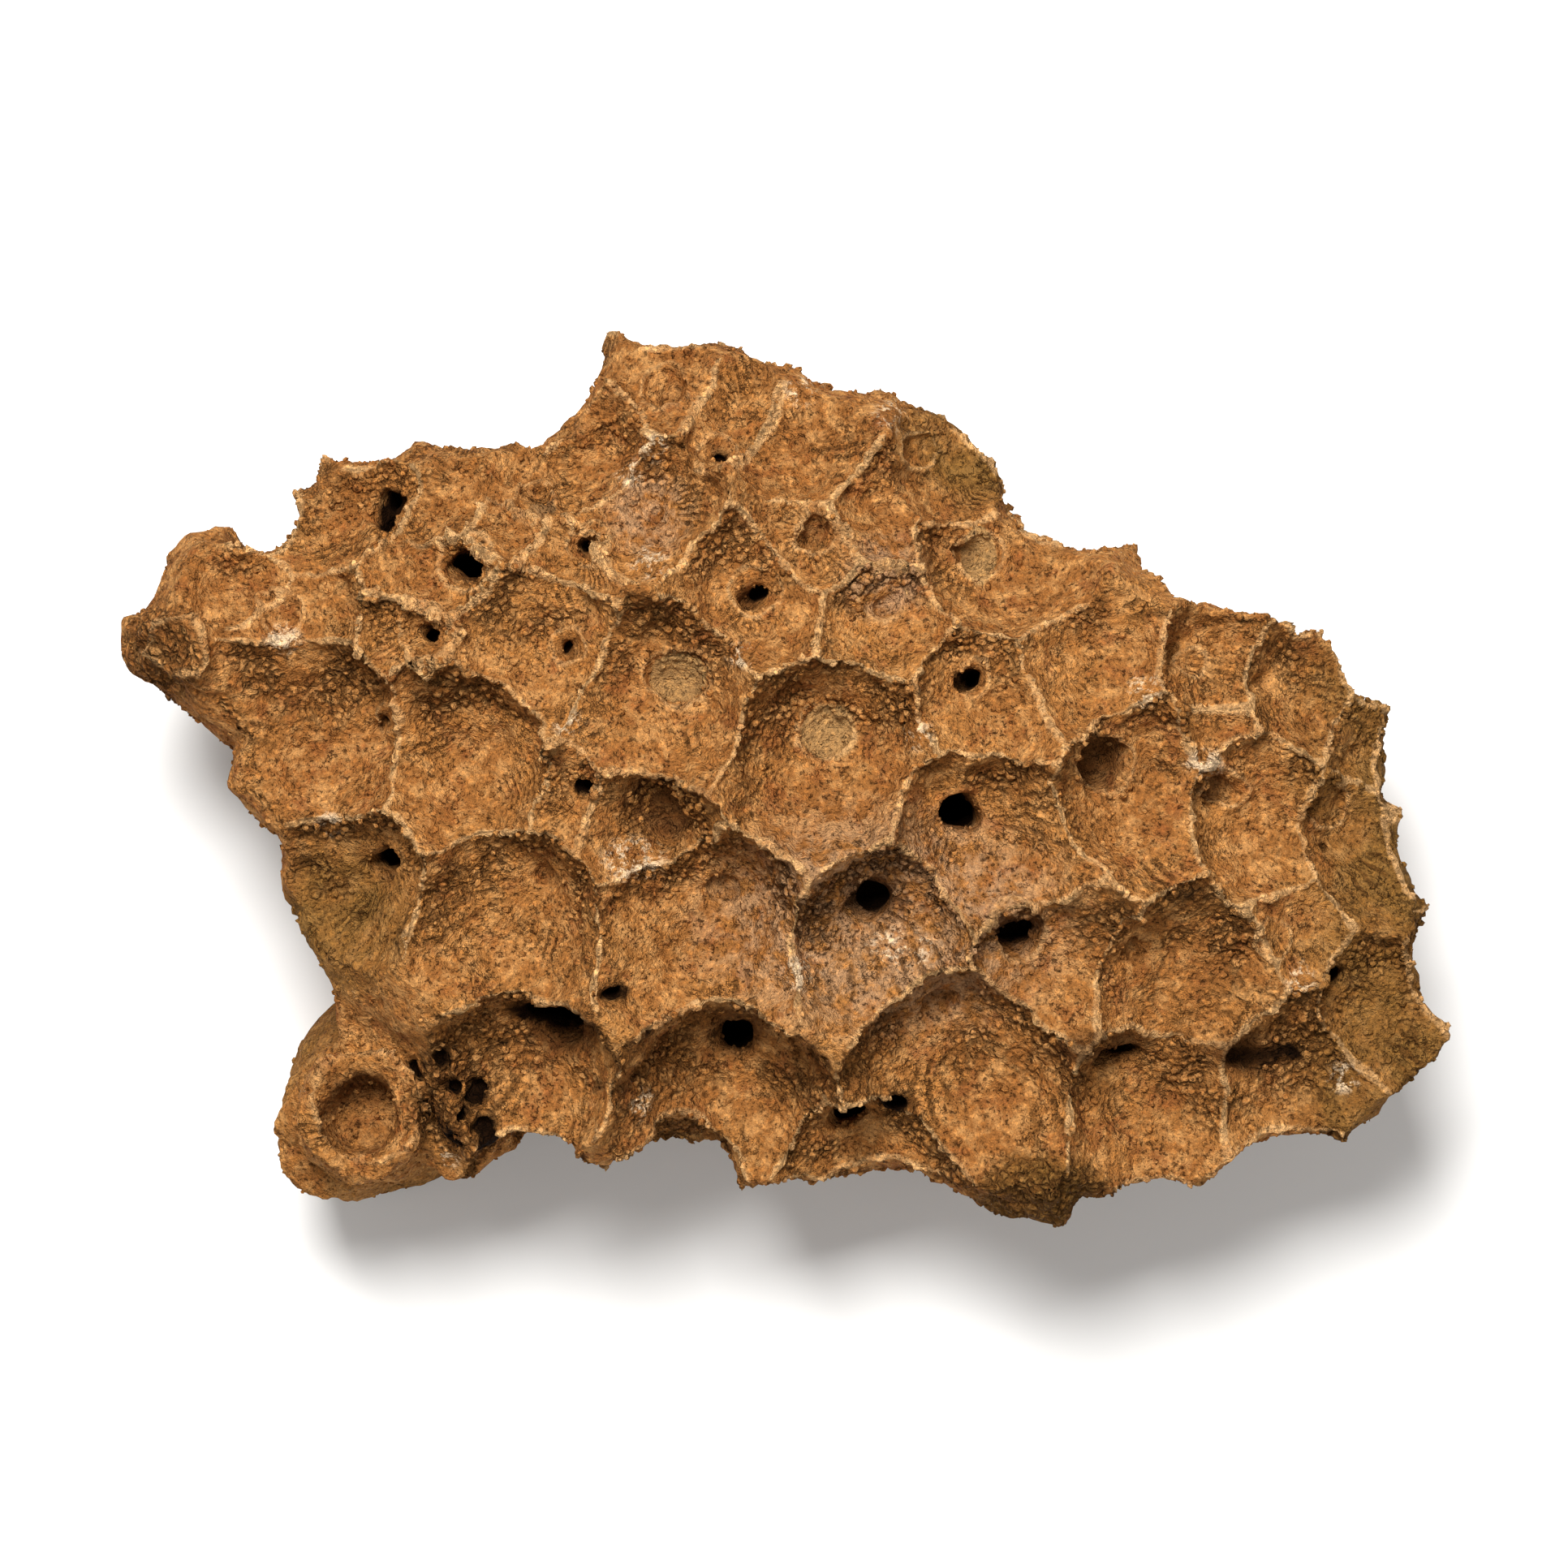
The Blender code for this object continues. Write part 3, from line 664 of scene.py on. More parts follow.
def shape_drill(hole, top, axis, dice):
    """A wobbly cone that stands in the skin along its axis."""
    shape = bmesh.new()
    bmesh.ops.create_cone(shape, cap_ends=True, segments=HOLE_SIDES, radius1=HOLE_TAPER, radius2=1, depth=1)
    for vertex in shape.verts:
        wobble = 1 + dice.uniform(-HOLE_WOBBLE, HOLE_WOBBLE)
        vertex.co.x *= hole.across * wobble
        vertex.co.y *= hole.along * wobble
        vertex.co.z *= hole.depth * 2
    turn = Vector((0, 0, 1)).rotation_difference(axis).to_matrix().to_4x4()
    bmesh.ops.transform(shape, matrix=Matrix.Translation(top) @ turn, verts=shape.verts)
    return shape


def drill_holes(skin):
    """Cuts the small holes, each from where the skin lies under it, leaning a little to the root."""
    dice = Random(SEED)
    tree = BVHTree.FromObject(skin, bpy.context.evaluated_depsgraph_get())
    drills = new_collection("drills")
    for hole in HOLES + [crumbly_hole(dice) for _ in range(CRUMBLY_HOLES)]:
        top = tree.ray_cast(Vector((hole.x, hole.y, DRILL_START)), Vector((0, 0, -1)))[0]
        if top is None or top.z < LOWEST_FINE:
            continue
        axis = (Vector((0, 0, 1)) + HOLE_LEAN * (top - ROOT).normalized()).normalized()
        add_object(shape_drill(hole, top, axis, dice), "drill", drills)
        drilled.append((top, axis, hole))
    add_boolean(skin, "DIFFERENCE", drills)
    bake(skin)
    drop(drills)


def keep_largest(shape):
    """Deletes loose crumbs and sealed bubbles, and keeps the largest body."""
    left = set(shape.verts)
    bodies = []
    while left:
        body = {left.pop()}
        fringe = set(body)
        while fringe:
            fringe = {edge.other_vert(vertex) for vertex in fringe for edge in vertex.link_edges} - body
            body |= fringe
        left -= body
        bodies.append(body)
    bodies.sort(key=len)
    for body in bodies[:-1]:
        bmesh.ops.delete(shape, geom=list(body), context="VERTS")


def even_out(skin):
    """Gives the skin small even faces."""
    remesh = skin.modifiers.new("even", "REMESH")
    remesh.mode = "VOXEL"
    remesh.voxel_size = SKIN_VOXEL
    bake(skin)
    shape = bmesh.new()
    shape.from_mesh(skin.data)
    keep_largest(shape)
    shape.to_mesh(skin.data)
    shape.free()


def values_of(items, name):
    """Reads one vector of every vertex, as rows of numbers."""
    values = np.empty(len(items) * 3, np.float32)
    items.foreach_get(name, values)
    return values.reshape(-1, 3).astype(float)


def move_points(mesh, points):
    """Puts the vertices at new places, but never outside the solid's box."""
    low, high = [np.array(corner) for corner in solid_box]
    points = np.clip(points, low + BOX_CLEARANCE, high - BOX_CLEARANCE)
    mesh.vertices.foreach_set("co", points.astype(np.float32).ravel())
    mesh.update()
    return points


def smooth_step(low, high, values):
    share = np.clip((values - low) / (high - low), 0, 1)
    return share * share * (3 - 2 * share)


def sort_into_bowls(points):
    """Finds the bowl and the place in it of each point, and how near a ridge or deep in a pit it lies."""
    grown = np.array([unwarped(Vector(point)) for point in points])
    nearest, second = np.full((2, len(points)), FAR)
    index = np.full(len(points), -1)
    place = np.zeros((len(points), 3))
    depth = np.zeros(len(points))
    for number, bowl in enumerate(bowls):
        back = np.array(bowl.place.inverted())
        inside = grown @ back[:3, :3].T + back[:3, 3]
        distance = np.hypot(inside[:, 0], inside[:, 1])
        share = distance / bowl.radius
        wall = bowl.depth * share ** BOWL_POWER
        slope = BOWL_POWER * bowl.depth / bowl.radius * share ** (BOWL_POWER - 1)
        gap = np.abs(inside[:, 2] - wall) / np.sqrt(1 + slope ** 2)
        pit = (distance < bowl.pit_radius * PIT_REACH) & (inside[:, 2] < wall)
        gap[pit] = 0
        gap[share > BOWL_RINGS[0]] = FAR
        nearer = gap < nearest
        second = np.where(nearer, nearest, np.minimum(second, gap))
        nearest = np.where(nearer, gap, nearest)
        index[nearer] = number
        place[nearer] = np.stack([inside[:, 0], inside[:, 1], distance], 1)[nearer] / bowl.radius
        depth = np.where(nearer, np.where(pit, wall - inside[:, 2], 0.0), depth)
    outside = nearest > WALL_REACH
    index[outside] = -1
    place[outside] = (0, 0, 2)
    ridge = (1 - smooth_step(RIDGE_CORE, RIDGE_REACH, second)) * (nearest < WALL_REACH)
    return index, place, ridge, smooth_step(0, PIT_SHADE_DEPTH, depth)


def hole_shade(points):
    """How deep in a drilled hole each point lies, from 0 at its edge to 1, which is painted as shade inside
    the holes.
    """
    shade = np.zeros(len(points))
    for top, axis, hole in drilled:
        away = points - np.array(top)
        height = away @ np.array(axis)
        flat = away - height[:, None] * np.array(axis)
        inside = (flat[:, 0] / hole.across) ** 2 + (flat[:, 1] / hole.along) ** 2 < HOLE_EDGE ** 2
        inside &= height > -hole.depth - HOLE_SHADE_DEPTH
        shade = np.maximum(shade, inside * smooth_step(0.0, HOLE_SHADE_DEPTH, -height))
    return shade


def blot(points, x, y, across, along):
    """A soft round mark seen from above: 1 in its middle and 0 beyond its edge."""
    distance = np.hypot((points[:, 0] - x) / across, (points[:, 1] - y) / along)
    return 1 - smooth_step(MARK_CORE, 1.0, distance)


def zone(points, name):
    return np.max([blot(points, *mark) for mark in ZONES[name]], axis=0)


def store(mesh, name, values):
    """Keeps a number or a vector for each point of a mesh, under a name that its material reads."""
    kind = "FLOAT_VECTOR" if values.ndim == 2 else "FLOAT"
    kept = mesh.attributes.new(name, kind, "POINT")
    kept.data.foreach_set("vector" if values.ndim == 2 else "value", values.astype(np.float32).ravel())


def store_zones(mesh):
    """Keeps where the stone is weathered grey or pale, where it turns olive-brown, partly as painted dimming,
    and where a calice is plugged.
    """
    points = values_of(mesh.vertices, "co")
    low = 1 - smooth_step(*OLIVE_LOW, points[:, 2])
    edge = smooth_step(*OLIVE_EDGE, points[:, 0])
    store(mesh, "patina", zone(points, "patina"))
    store(mesh, "olive", np.maximum(np.maximum(zone(points, "olive"), edge), low * OLIVE_LOW_SHARE))
    store(mesh, "pale", zone(points, "pale") * smooth_step(*PALE_LOW, points[:, 2]))
    store(mesh, "plug", zone(points, "plug"))


def rim_shape(points, normals):
    """Height of the low rims round the pits, on stone that faces up, and how near each point is to one."""
    height, share = np.zeros((2, len(points)))
    for rim in RIMS:
        away = np.hypot(points[:, 0] - rim.x, points[:, 1] - rim.y) - rim.radius
        near = np.exp(-(away / RIM_WIDTH) ** 2) * smooth_step(*RIM_SLOPE, normals[:, 2])
        height = np.maximum(height, rim.height * near)
        share = np.maximum(share, near)
    return height, share


def sampled(points, size, layers=1, offset=(0, 0, 0)):
    """Cloudy noise at every point, with lumps about as wide as size."""
    offset = Vector(offset)
    return np.array([noise.fractal(Vector(point) / size + offset, 0.8, 2.1, layers) for point in points])


def bead_share(points, normals, place):
    """How thick the beads stand: in patches on the upper walls that face the front."""
    patch = sampled(points, BEAD_PATCH, 2, (3, 8, 5))
    share = smooth_step(*BEAD_SLOPE, normals[:, 1]) * smooth_step(*BEAD_PATCHES, patch)
    return share * (smooth_step(*BEADS_START, place[:, 2]) * (1 - smooth_step(*BEADS_END, place[:, 2])))


def septum_shape(place):
    """Ribs that run out from the middle of each calice."""
    rib = np.cos(np.arctan2(place[:, 1], place[:, 0]) * SEPTA)
    return rib * smooth_step(*SEPTA_START, place[:, 2]) * (1 - smooth_step(*SEPTA_END, place[:, 2]))


def crest_shape(index, ridge, crumble):
    """Crests on the ridges, higher round small calices that face up."""
    small = [bowl.radius < TURRET_RADIUS and bowl.place.col[2].z > TURRET_UPRIGHT for bowl in bowls]
    small = np.array(small + [False])[index]
    crests = (0.5 + crumble) * CREST_REACH + small * (0.8 + crumble) * TURRET_REACH
    return smooth_step(*CREST_RIDGE, ridge) * crests


def waver_of(points):
    """Slow sideways bends, so that no ridge runs straight."""
    noise.seed_set(SEED)
    return np.array([noise.noise_vector(Vector(point) / WAVER_SIZE) for point in points]) * WAVER_REACH


def roughen(skin):
    """Gives the skin its lumps, grain, septa and crumbled ridges, and keeps what the material reads."""
    mesh = skin.data
    points, normals = values_of(mesh.vertices, "co"), values_of(mesh.vertex_normals, "vector")
    index, place, ridge, pit = sort_into_bowls(points)
    in_stalk = index == len(bowls) - 1
    hole = hole_shade(points)
    crumble = sampled(points, CRUMBLE_SIZE, 1, (9, 4, 2))
    beaded = bead_share(points, normals, place)
    beaded[in_stalk] = 0
    # The beaded walls face away from the light; their gaps, and those of the worn patches, get painted shade
    worn = np.maximum(beaded, zone(points, "worn"))
    crag = 1 - smooth_step(0.0, CRAG_WIDTH, np.abs(sampled(points, CRAG_SIZE, 2, (1, 6, 7))))
    rise, rim = rim_shape(points, normals)
    push = sampled(points, ROUGH_SIZE, 3) * ROUGH_REACH + sampled(points, GRAIN_SIZE) * GRAIN_REACH
    push = push + septum_shape(place) * SEPTUM_REACH
    push += ridge * np.minimum(crumble, MOST_CRUMBLE) * CRUMBLE_REACH
    push += crest_shape(index, ridge, crumble)
    push += rise * (0.8 + 0.8 * crumble)
    push -= worn * crag * CRAG_REACH
    waver = waver_of(points)
    waver[in_stalk] *= STALK_WAVER
    fade = smooth_step(*BASE_FADE, points[:, 2])
    push = push * fade * (1 - 0.5 * np.maximum(hole, pit))
    points = move_points(mesh, points + (waver * fade[:, None] + normals * push[:, None]))
    tones = np.append(np.random.default_rng(SEED).uniform(-1, 1, len(bowls)), 0.0)
    pit = pit * np.where(in_stalk, STALK_PIT_SHADE, 1.0)
    kept = {
        # The hole values also paint shade inside the drilled holes
        "calice": index.astype(float), "place": place, "hole": hole, "beaded": beaded, "worn": worn,
        "ridge": np.maximum(ridge, rim * RIM_SHARE),
        # Painted shade deep in the pits and in the shaded marks
        "pit": np.maximum(pit, zone(points, "shaded") * SHADED_SHARE),
        # Tone differs at random from calice to calice, and is lowered as painted dimming in the dimmed marks
        "tone": tones[index] - zone(points, "painted_dimming") * PAINTED_DIMMING_SHARE,
    }
    for name, values in kept.items():
        store(mesh, name, values)
    store_zones(mesh)


def thin_out(skin):
    """Drops faces that show little: many on the sides and the base, and fewer above."""
    low = skin.vertex_groups.new(name="low")
    height = values_of(skin.data.vertices, "co")[:, 2]
    facing = values_of(skin.data.vertex_normals, "vector")[:, 2]
    hidden = np.clip((LOWEST_FINE - height) / LOW_FADE, 0, 1)
    hidden = np.maximum(hidden, np.clip((-facing - DOWNWARD) * 2, 0, 1))
    for index, share in enumerate(TOP_THINNING + (1 - TOP_THINNING) * hidden):
        low.add([index], float(share), "REPLACE")
    thin = skin.modifiers.new("thin", "DECIMATE")
    thin.ratio = SKIN_FACES / (2 * len(skin.data.polygons))
    thin.vertex_group = low.name
    thin.vertex_group_factor = LOW_THINNING
    bake(skin)
    skin.vertex_groups.clear()


class Wire:
    """A node's value that arithmetic can be done on: each sign adds a Math node."""

    def __init__(self, maker, socket):
        self.maker = maker
        self.socket = socket

    def __add__(self, other):
        return self.maker.math("ADD", self, other)

    def __sub__(self, other):
        return self.maker.math("SUBTRACT", self, other)

    def __rsub__(self, other):
        return self.maker.math("SUBTRACT", other, self)

    def __mul__(self, other):
        return self.maker.math("MULTIPLY", self, other)

    __radd__ = __add__
    __rmul__ = __mul__


class Maker:
    """Adds nodes to one tree."""

    def __init__(self, tree):
        self.tree = tree
        self.tree.nodes.clear()

    def node(self, kind, settings=None, sockets=None):
        """Adds a node, sets it up, fills or links its sockets, and returns its outputs by name."""
        node = self.tree.nodes.new(kind)
        for name, value in (settings or {}).items():
            setattr(node, name, value)
        for key, value in (sockets or {}).items():
            socket = node.inputs[key] if isinstance(key, int) else self.find(node, key)
            if isinstance(value, Wire):
                self.tree.links.new(value.socket, socket)
            else:
                socket.default_value = value
        return {socket.name: Wire(self, socket) for socket in node.outputs if socket.enabled}

    def find(self, node, name):
        return next(socket for socket in node.inputs if socket.enabled and socket.name == name)

    def math(self, operation, *values):
        return self.node("ShaderNodeMath", {"operation": operation}, dict(enumerate(values)))["Value"]

    def vector(self, operation, first, second=None, scale=None):
        sockets = {0: first}
        if second is not None:
            sockets[1] = second
        if scale is not None:
            sockets["Scale"] = scale
        return self.node("ShaderNodeVectorMath", {"operation": operation}, sockets)["Vector"]

    def ramp(self, value, low, high, start=0.0, end=1.0):
        """Follows a value smoothly from start at low to end at high."""
        settings = {"interpolation_type": "SMOOTHSTEP"}
        sockets = {"Value": value, "From Min": low, "From Max": high, "To Min": start, "To Max": end}
        return self.node("ShaderNodeMapRange", settings, sockets)["Result"]

    def mix(self, share, first, second, blend="MIX"):
        settings = {"data_type": "RGBA", "blend_type": blend, "clamp_factor": True}
        return self.node("ShaderNodeMix", settings, {"Factor": share, "A": first, "B": second})["Result"]

    def noise(self, place, size, detail=3.0, roughness=0.55):
        """Cloudy noise whose lumps are about as wide as size."""
        sockets = {"Vector": place, "Scale": 1 / size, "Detail": detail, "Roughness": roughness}
        return self.node("ShaderNodeTexNoise", None, sockets)["Fac"]

    def cell_edges(self, place, size):
        """How far each place is from the nearest edge between irregular cells."""
        sockets = {"Vector": place, "Scale": 1 / size}
        return self.node("ShaderNodeTexVoronoi", {"feature": "DISTANCE_TO_EDGE"}, sockets)["Distance"]

    def shake(self, place, scale, detail, reach):
        """A push in any direction, which noise makes differ from place to place."""
        sockets = {"Vector": place, "Scale": scale, "Detail": detail}
        push = self.node("ShaderNodeTexNoise", None, sockets)["Color"]
        return self.vector("SCALE", self.vector("SUBTRACT", push, (0.5, 0.5, 0.5)), scale=reach)

    def kept(self, name, output="Fac"):
        """A number kept on the piece's points."""
        return self.node("ShaderNodeAttribute", {"attribute_name": name})[output]

    def septa(self, waver, patch):
        """Grooves between the septa, which run out from the middle of each calice, in patches, darkened as
        painted shade.
        """
        spot = self.node("ShaderNodeSeparateXYZ", None, {"Vector": self.kept("place", "Vector")})
        turn = self.math("ARCTAN2", spot["Y"], spot["X"])
        lines = self.math("COSINE", turn * SEPTA + waver * SEPTA_WAVER)
        ring = self.ramp(spot["Z"], 0.30, 0.50) * self.ramp(spot["Z"], 1.25, 1.40, 1.0, 0.0)
        return self.ramp(lines, -0.9, 0.0, 1.0, 0.0) * ring * self.ramp(patch, 0.46, 0.66)


def new_material(name):
    material = bpy.data.materials.new(name)
    material.use_nodes = True
    return material, Maker(material.node_tree)


def stone_material():
    """Ochre limestone, mottled, with dark crevices of painted shade, pale ridges partly painted as highlight,
    grey and green weathering with the green partly painted dimming, pale plugs, painted glints, and painted
    shade in pits and holes.
    """
    material, make = new_material("weathered_ochre_limestone")
    place = make.node("ShaderNodeTexCoord")["Object"]
    bent = make.vector("ADD", place, make.shake(place, 1 / BEND_SIZE, 2.0, BEND_REACH))
    ridge, hole, pit, worn = [make.kept(name) for name in ("ridge", "hole", "pit", "worn")]

    # Patterns, and the small relief that they make together
    clouds = make.noise(place, CLOUD_SIZE, 3.0)
    stains = make.noise(place, STAIN_SIZE, 4.0, 0.7)
    mottle = make.noise(place, MOTTLE_SIZE, 4.0, 0.62)
    sand = make.noise(place, SAND_SIZE, 3.0, 0.72)
    flecks = make.noise(place, FLECK_SIZE, 3.0, 0.70)
    dust = make.noise(place, DUST_SIZE, 1.0)
    lumps = make.cell_edges(bent, LUMP_SIZE)
    gaps = make.ramp(lumps, 0.02, 0.26, 1.0, 0.0) * make.ramp(mottle, 0.38, 0.56, 0.2, 1.0)
    cracks = make.ramp(make.math("ABSOLUTE", stains - 0.5), 0.0, 0.014, 1.0, 0.0)
    cracks = cracks * make.ramp(clouds, 0.48, 0.60)
    specks = make.ramp(flecks, 0.33, 0.43, 1.0, 0.0) * make.ramp(stains, 0.40, 0.58, 0.35, 1.0)
    septa = make.septa(mottle, clouds)
    height = sand * 0.9 + mottle * 0.6 + make.ramp(lumps, 0.0, 0.5, 0.0, 0.25) - specks * 0.5 - cracks * 0.3
    height = height - septa * 0.35 - worn * gaps * 0.7

    # The stone itself, and how it has weathered, with painted dimming in its tone and in the olive-brown
    colour = make.mix(make.ramp(clouds + make.kept("tone") * 0.06, 0.36, 0.64), BROWN, OCHRE)
    colour = make.mix(make.ramp(mottle, 0.42, 0.66), colour, TAN)
    colour = make.mix(make.ramp(stains, 0.50, 0.70) * 0.8, colour, RUST)
    colour = make.mix(make.kept("patina") * make.ramp(mottle, 0.36, 0.60) * 0.75, colour, GREY_PINK)
    colour = make.mix(make.kept("olive") * make.ramp(clouds, 0.30, 0.62, 0.35, 0.80), colour, OLIVE_AND_PAINTED_DIMMING)

    # Painted shade in the crevices, between the septa and in the gaps of the worn and beaded walls, then pale
    # plugs, pale ridges partly painted as highlight, pale marks and painted glints, and last painted shade in
    # the pits and holes
    colour = make.mix(make.ramp(height, 0.40, 0.76, 0.50, 0.0), colour, CREVICE_PAINTED_SHADE)
    colour = make.mix(septa * 0.35, colour, CREVICE_PAINTED_SHADE)
    colour = make.mix(worn * (gaps * 0.55 + 0.05), colour, CREVICE_PAINTED_SHADE)
    colour = make.mix(specks * 0.48 + cracks * 0.4, colour, PORE_DARK)
    plug = make.ramp(make.kept("plug") + mottle * 0.5, 0.50, 0.75)
    colour = make.mix(plug * 0.80, colour, PLUG_CREAM)
    # Pale ridge tops: partly the stone's colour, partly painted highlight
    edge = make.ramp(ridge, 0.40, 0.90) * make.ramp(clouds * 0.5 + mottle * 0.5, 0.42, 0.56, 0.40, 1.0)
    colour = make.mix(edge * make.ramp(sand, 0.34, 0.52, 0.45, 1.0), colour, RIDGE_PALE_AND_HIGHLIGHT)
    white = make.kept("pale") * make.ramp(sand + mottle + ridge * 0.25, 1.02, 1.20)
    colour = make.mix(white * 0.8, colour, CREAM)
    # Painted glints: bright flecks
    colour = make.mix(make.ramp(flecks, 0.52, 0.64), colour, make.mix(1.0, colour, PAINTED_GLINT, "MULTIPLY"))
    # Painted shade deep in the pits and under the front ridges
    colour = make.mix(pit * 0.8, colour, PIT_PAINTED_SHADE)
    # Painted shade inside the drilled holes
    colour = make.mix(hole, colour, HOLE_PAINTED_SHADE)

    bump = make.node("ShaderNodeBump", None, {
        "Strength": 1.0, "Distance": BUMP_HEIGHT, "Height": height + dust * 0.25})["Normal"]
    roughness = make.ramp(mottle, 0.3, 0.7, 0.84, 0.96)
    surface = make.node("ShaderNodeBsdfPrincipled", None, {
        "Base Color": colour, "Roughness": roughness, "Normal": bump, "Specular IOR Level": 0.04})["BSDF"]
    make.node("ShaderNodeOutputMaterial", None, {"Surface": surface})
    return material


def plain_material(name, base, rough):
    material, make = new_material(name)
    surface = make.node("ShaderNodeBsdfPrincipled", None, {"Base Color": base, "Roughness": rough})["BSDF"]
    make.node("ShaderNodeOutputMaterial", None, {"Surface": surface})
    return material


class Grower(Maker):
    """Adds nodes to a new Geometry Nodes tree with named inputs."""

    kinds = {float: "NodeSocketFloat", int: "NodeSocketInt", bpy.types.Object: "NodeSocketObject",
             bpy.types.Material: "NodeSocketMaterial"}

    def __init__(self, name, inputs):
        tree = bpy.data.node_groups.new(name, "GeometryNodeTree")
        super().__init__(tree)
        face = tree.interface
        face.new_socket("Geometry", in_out="INPUT", socket_type="NodeSocketGeometry")
        face.new_socket("Geometry", in_out="OUTPUT", socket_type="NodeSocketGeometry")
        self.values = dict(inputs)
        for label, value in inputs.items():
            face.new_socket(label, in_out="INPUT", socket_type=self.kinds[type(value)])
        self.given = self.node("NodeGroupInput")
        self.skin = self.node("GeometryNodeObjectInfo", None, {"Object": self.given["Skin"]})["Geometry"]

    def named(self, name, kind="FLOAT"):
        """A value kept on the points."""
        return self.node("GeometryNodeInputNamedAttribute", {"data_type": kind}, {"Name": name})["Attribute"]

    def keep(self, geometry, name, kind, value):
        settings = {"data_type": kind, "domain": "POINT"}
        sockets = {"Geometry": geometry, "Name": name, "Value": value}
        return self.node("GeometryNodeStoreNamedAttribute", settings, sockets)["Geometry"]

    def chance(self, step, low=0.0, high=1.0):
        """A number drawn for each point, from the tree's seed and a step of its own."""
        sockets = {"Min": low, "Max": high, "Seed": self.given["Seed"] + step if step else self.given["Seed"]}
        return self.node("FunctionNodeRandomValue", {"data_type": "FLOAT"}, sockets)["Value"]

    def more(self, first, second):
        return self.node("FunctionNodeCompare", {"data_type": "FLOAT", "operation": "GREATER_THAN"},
                         {"A": first, "B": second})["Result"]

    def gate(self, operation, *tests):
        settings = {"operation": operation}
        return self.node("FunctionNodeBooleanMath", settings, dict(enumerate(tests)))["Boolean"]

    def joined(self, x, y, z=0.0):
        return self.node("ShaderNodeCombineXYZ", None, {"X": x, "Y": y, "Z": z})["Vector"]

    def position(self):
        return self.node("GeometryNodeInputPosition")["Position"]

    def copies(self, points, thing, turn, size):
        """Copies of a thing on every point, with real points and faces of their own."""
        sockets = {"Points": points, "Instance": thing, "Rotation": turn, "Scale": size}
        copies = self.node("GeometryNodeInstanceOnPoints", None, sockets)["Instances"]
        return self.node("GeometryNodeRealizeInstances", None, {"Geometry": copies})["Geometry"]

    def crumbs(self, points, radius, turn, size):
        """Small broken balls of stone on every point."""
        ball = self.node("GeometryNodeMeshIcoSphere", None, {"Radius": radius, "Subdivisions": 1})["Mesh"]
        balls = self.copies(points, ball, turn, size)
        push = self.shake(self.position(), self.math("DIVIDE", 1.0, radius), 1.0, radius * 2.0)
        balls = self.node("GeometryNodeSetPosition", None, {"Geometry": balls, "Offset": push})["Geometry"]
        sockets = {"Geometry": balls, "Material": self.given["Stone"]}
        return self.node("GeometryNodeSetMaterial", None, sockets)["Geometry"]

    def cast(self, name, start, way):
        """Follows a way from each point to the skin, and reads there what is kept under a name."""
        return self.node("GeometryNodeRaycast", {"data_type": "FLOAT", "mapping": "NEAREST"}, {
            "Target Geometry": self.skin, "Attribute": self.named(name), "Source Position": start,
            "Ray Direction": way, "Ray Length": self.given["Lift"] * 2.0})

    def grow_on(self, thing, geometry):
        """Ends the tree, grows it on an object and leaves a plain mesh."""
        self.node("NodeGroupOutput", None, {"Geometry": geometry})
        growth = thing.modifiers.new(self.tree.name, "NODES")
        growth.node_group = self.tree
        for item in self.tree.interface.items_tree:
            if item.in_out == "INPUT" and item.name in self.values:
                growth[item.identifier] = self.values[item.name]
        bake(thing)
        return thing


def mark_calices():
    """One point for each calice, with its axis, its turn and its size, on which the beads grow."""
    mesh = bpy.data.meshes.new("calice_marks")
    floors = [bowl.place.translation for bowl in bowls]
    mesh.from_pydata([floor + warp_push(floor) + CENTRING for floor in floors], [], [])
    turns = np.array([bowl.place.to_euler() for bowl in bowls])
    axes = np.array([bowl.place.to_3x3() @ Vector((0, 0, 1)) for bowl in bowls])
    sizes = np.array([bowl.place.to_scale() * bowl.radius for bowl in bowls])
    numbers = np.arange(len(bowls)).astype(float)
    for name, values in (("turn", turns), ("axis", axes), ("reach", sizes), ("number", numbers)):
        store(mesh, name, values)
    return add_object(mesh, "septal_beads")


def lay_spokes(grow):
    """Rows of points on a flat wheel of radius 1, with a spoke for each septum."""
    given = grow.given
    spot = grow.node("GeometryNodeInputIndex")["Index"]
    row = grow.math("FLOOR", grow.math("DIVIDE", spot, given["Septa"]))
    spoke = spot - row * given["Septa"]
    angle = spoke + row * 0.5 + grow.chance(0, -SPOKE_SHAKE, SPOKE_SHAKE)
    angle = angle * grow.math("DIVIDE", tau, given["Septa"])
    share = given["First Row"] + given["Row Step"] * (row + grow.chance(1, -ROW_SHAKE, ROW_SHAKE))
    place = grow.joined(grow.math("COSINE", angle) * share, grow.math("SINE", angle) * share)
    sockets = {"Count": given["Septa"] * given["Rows"], "Position": place}
    return grow.node("GeometryNodePoints", None, sockets)["Points"]


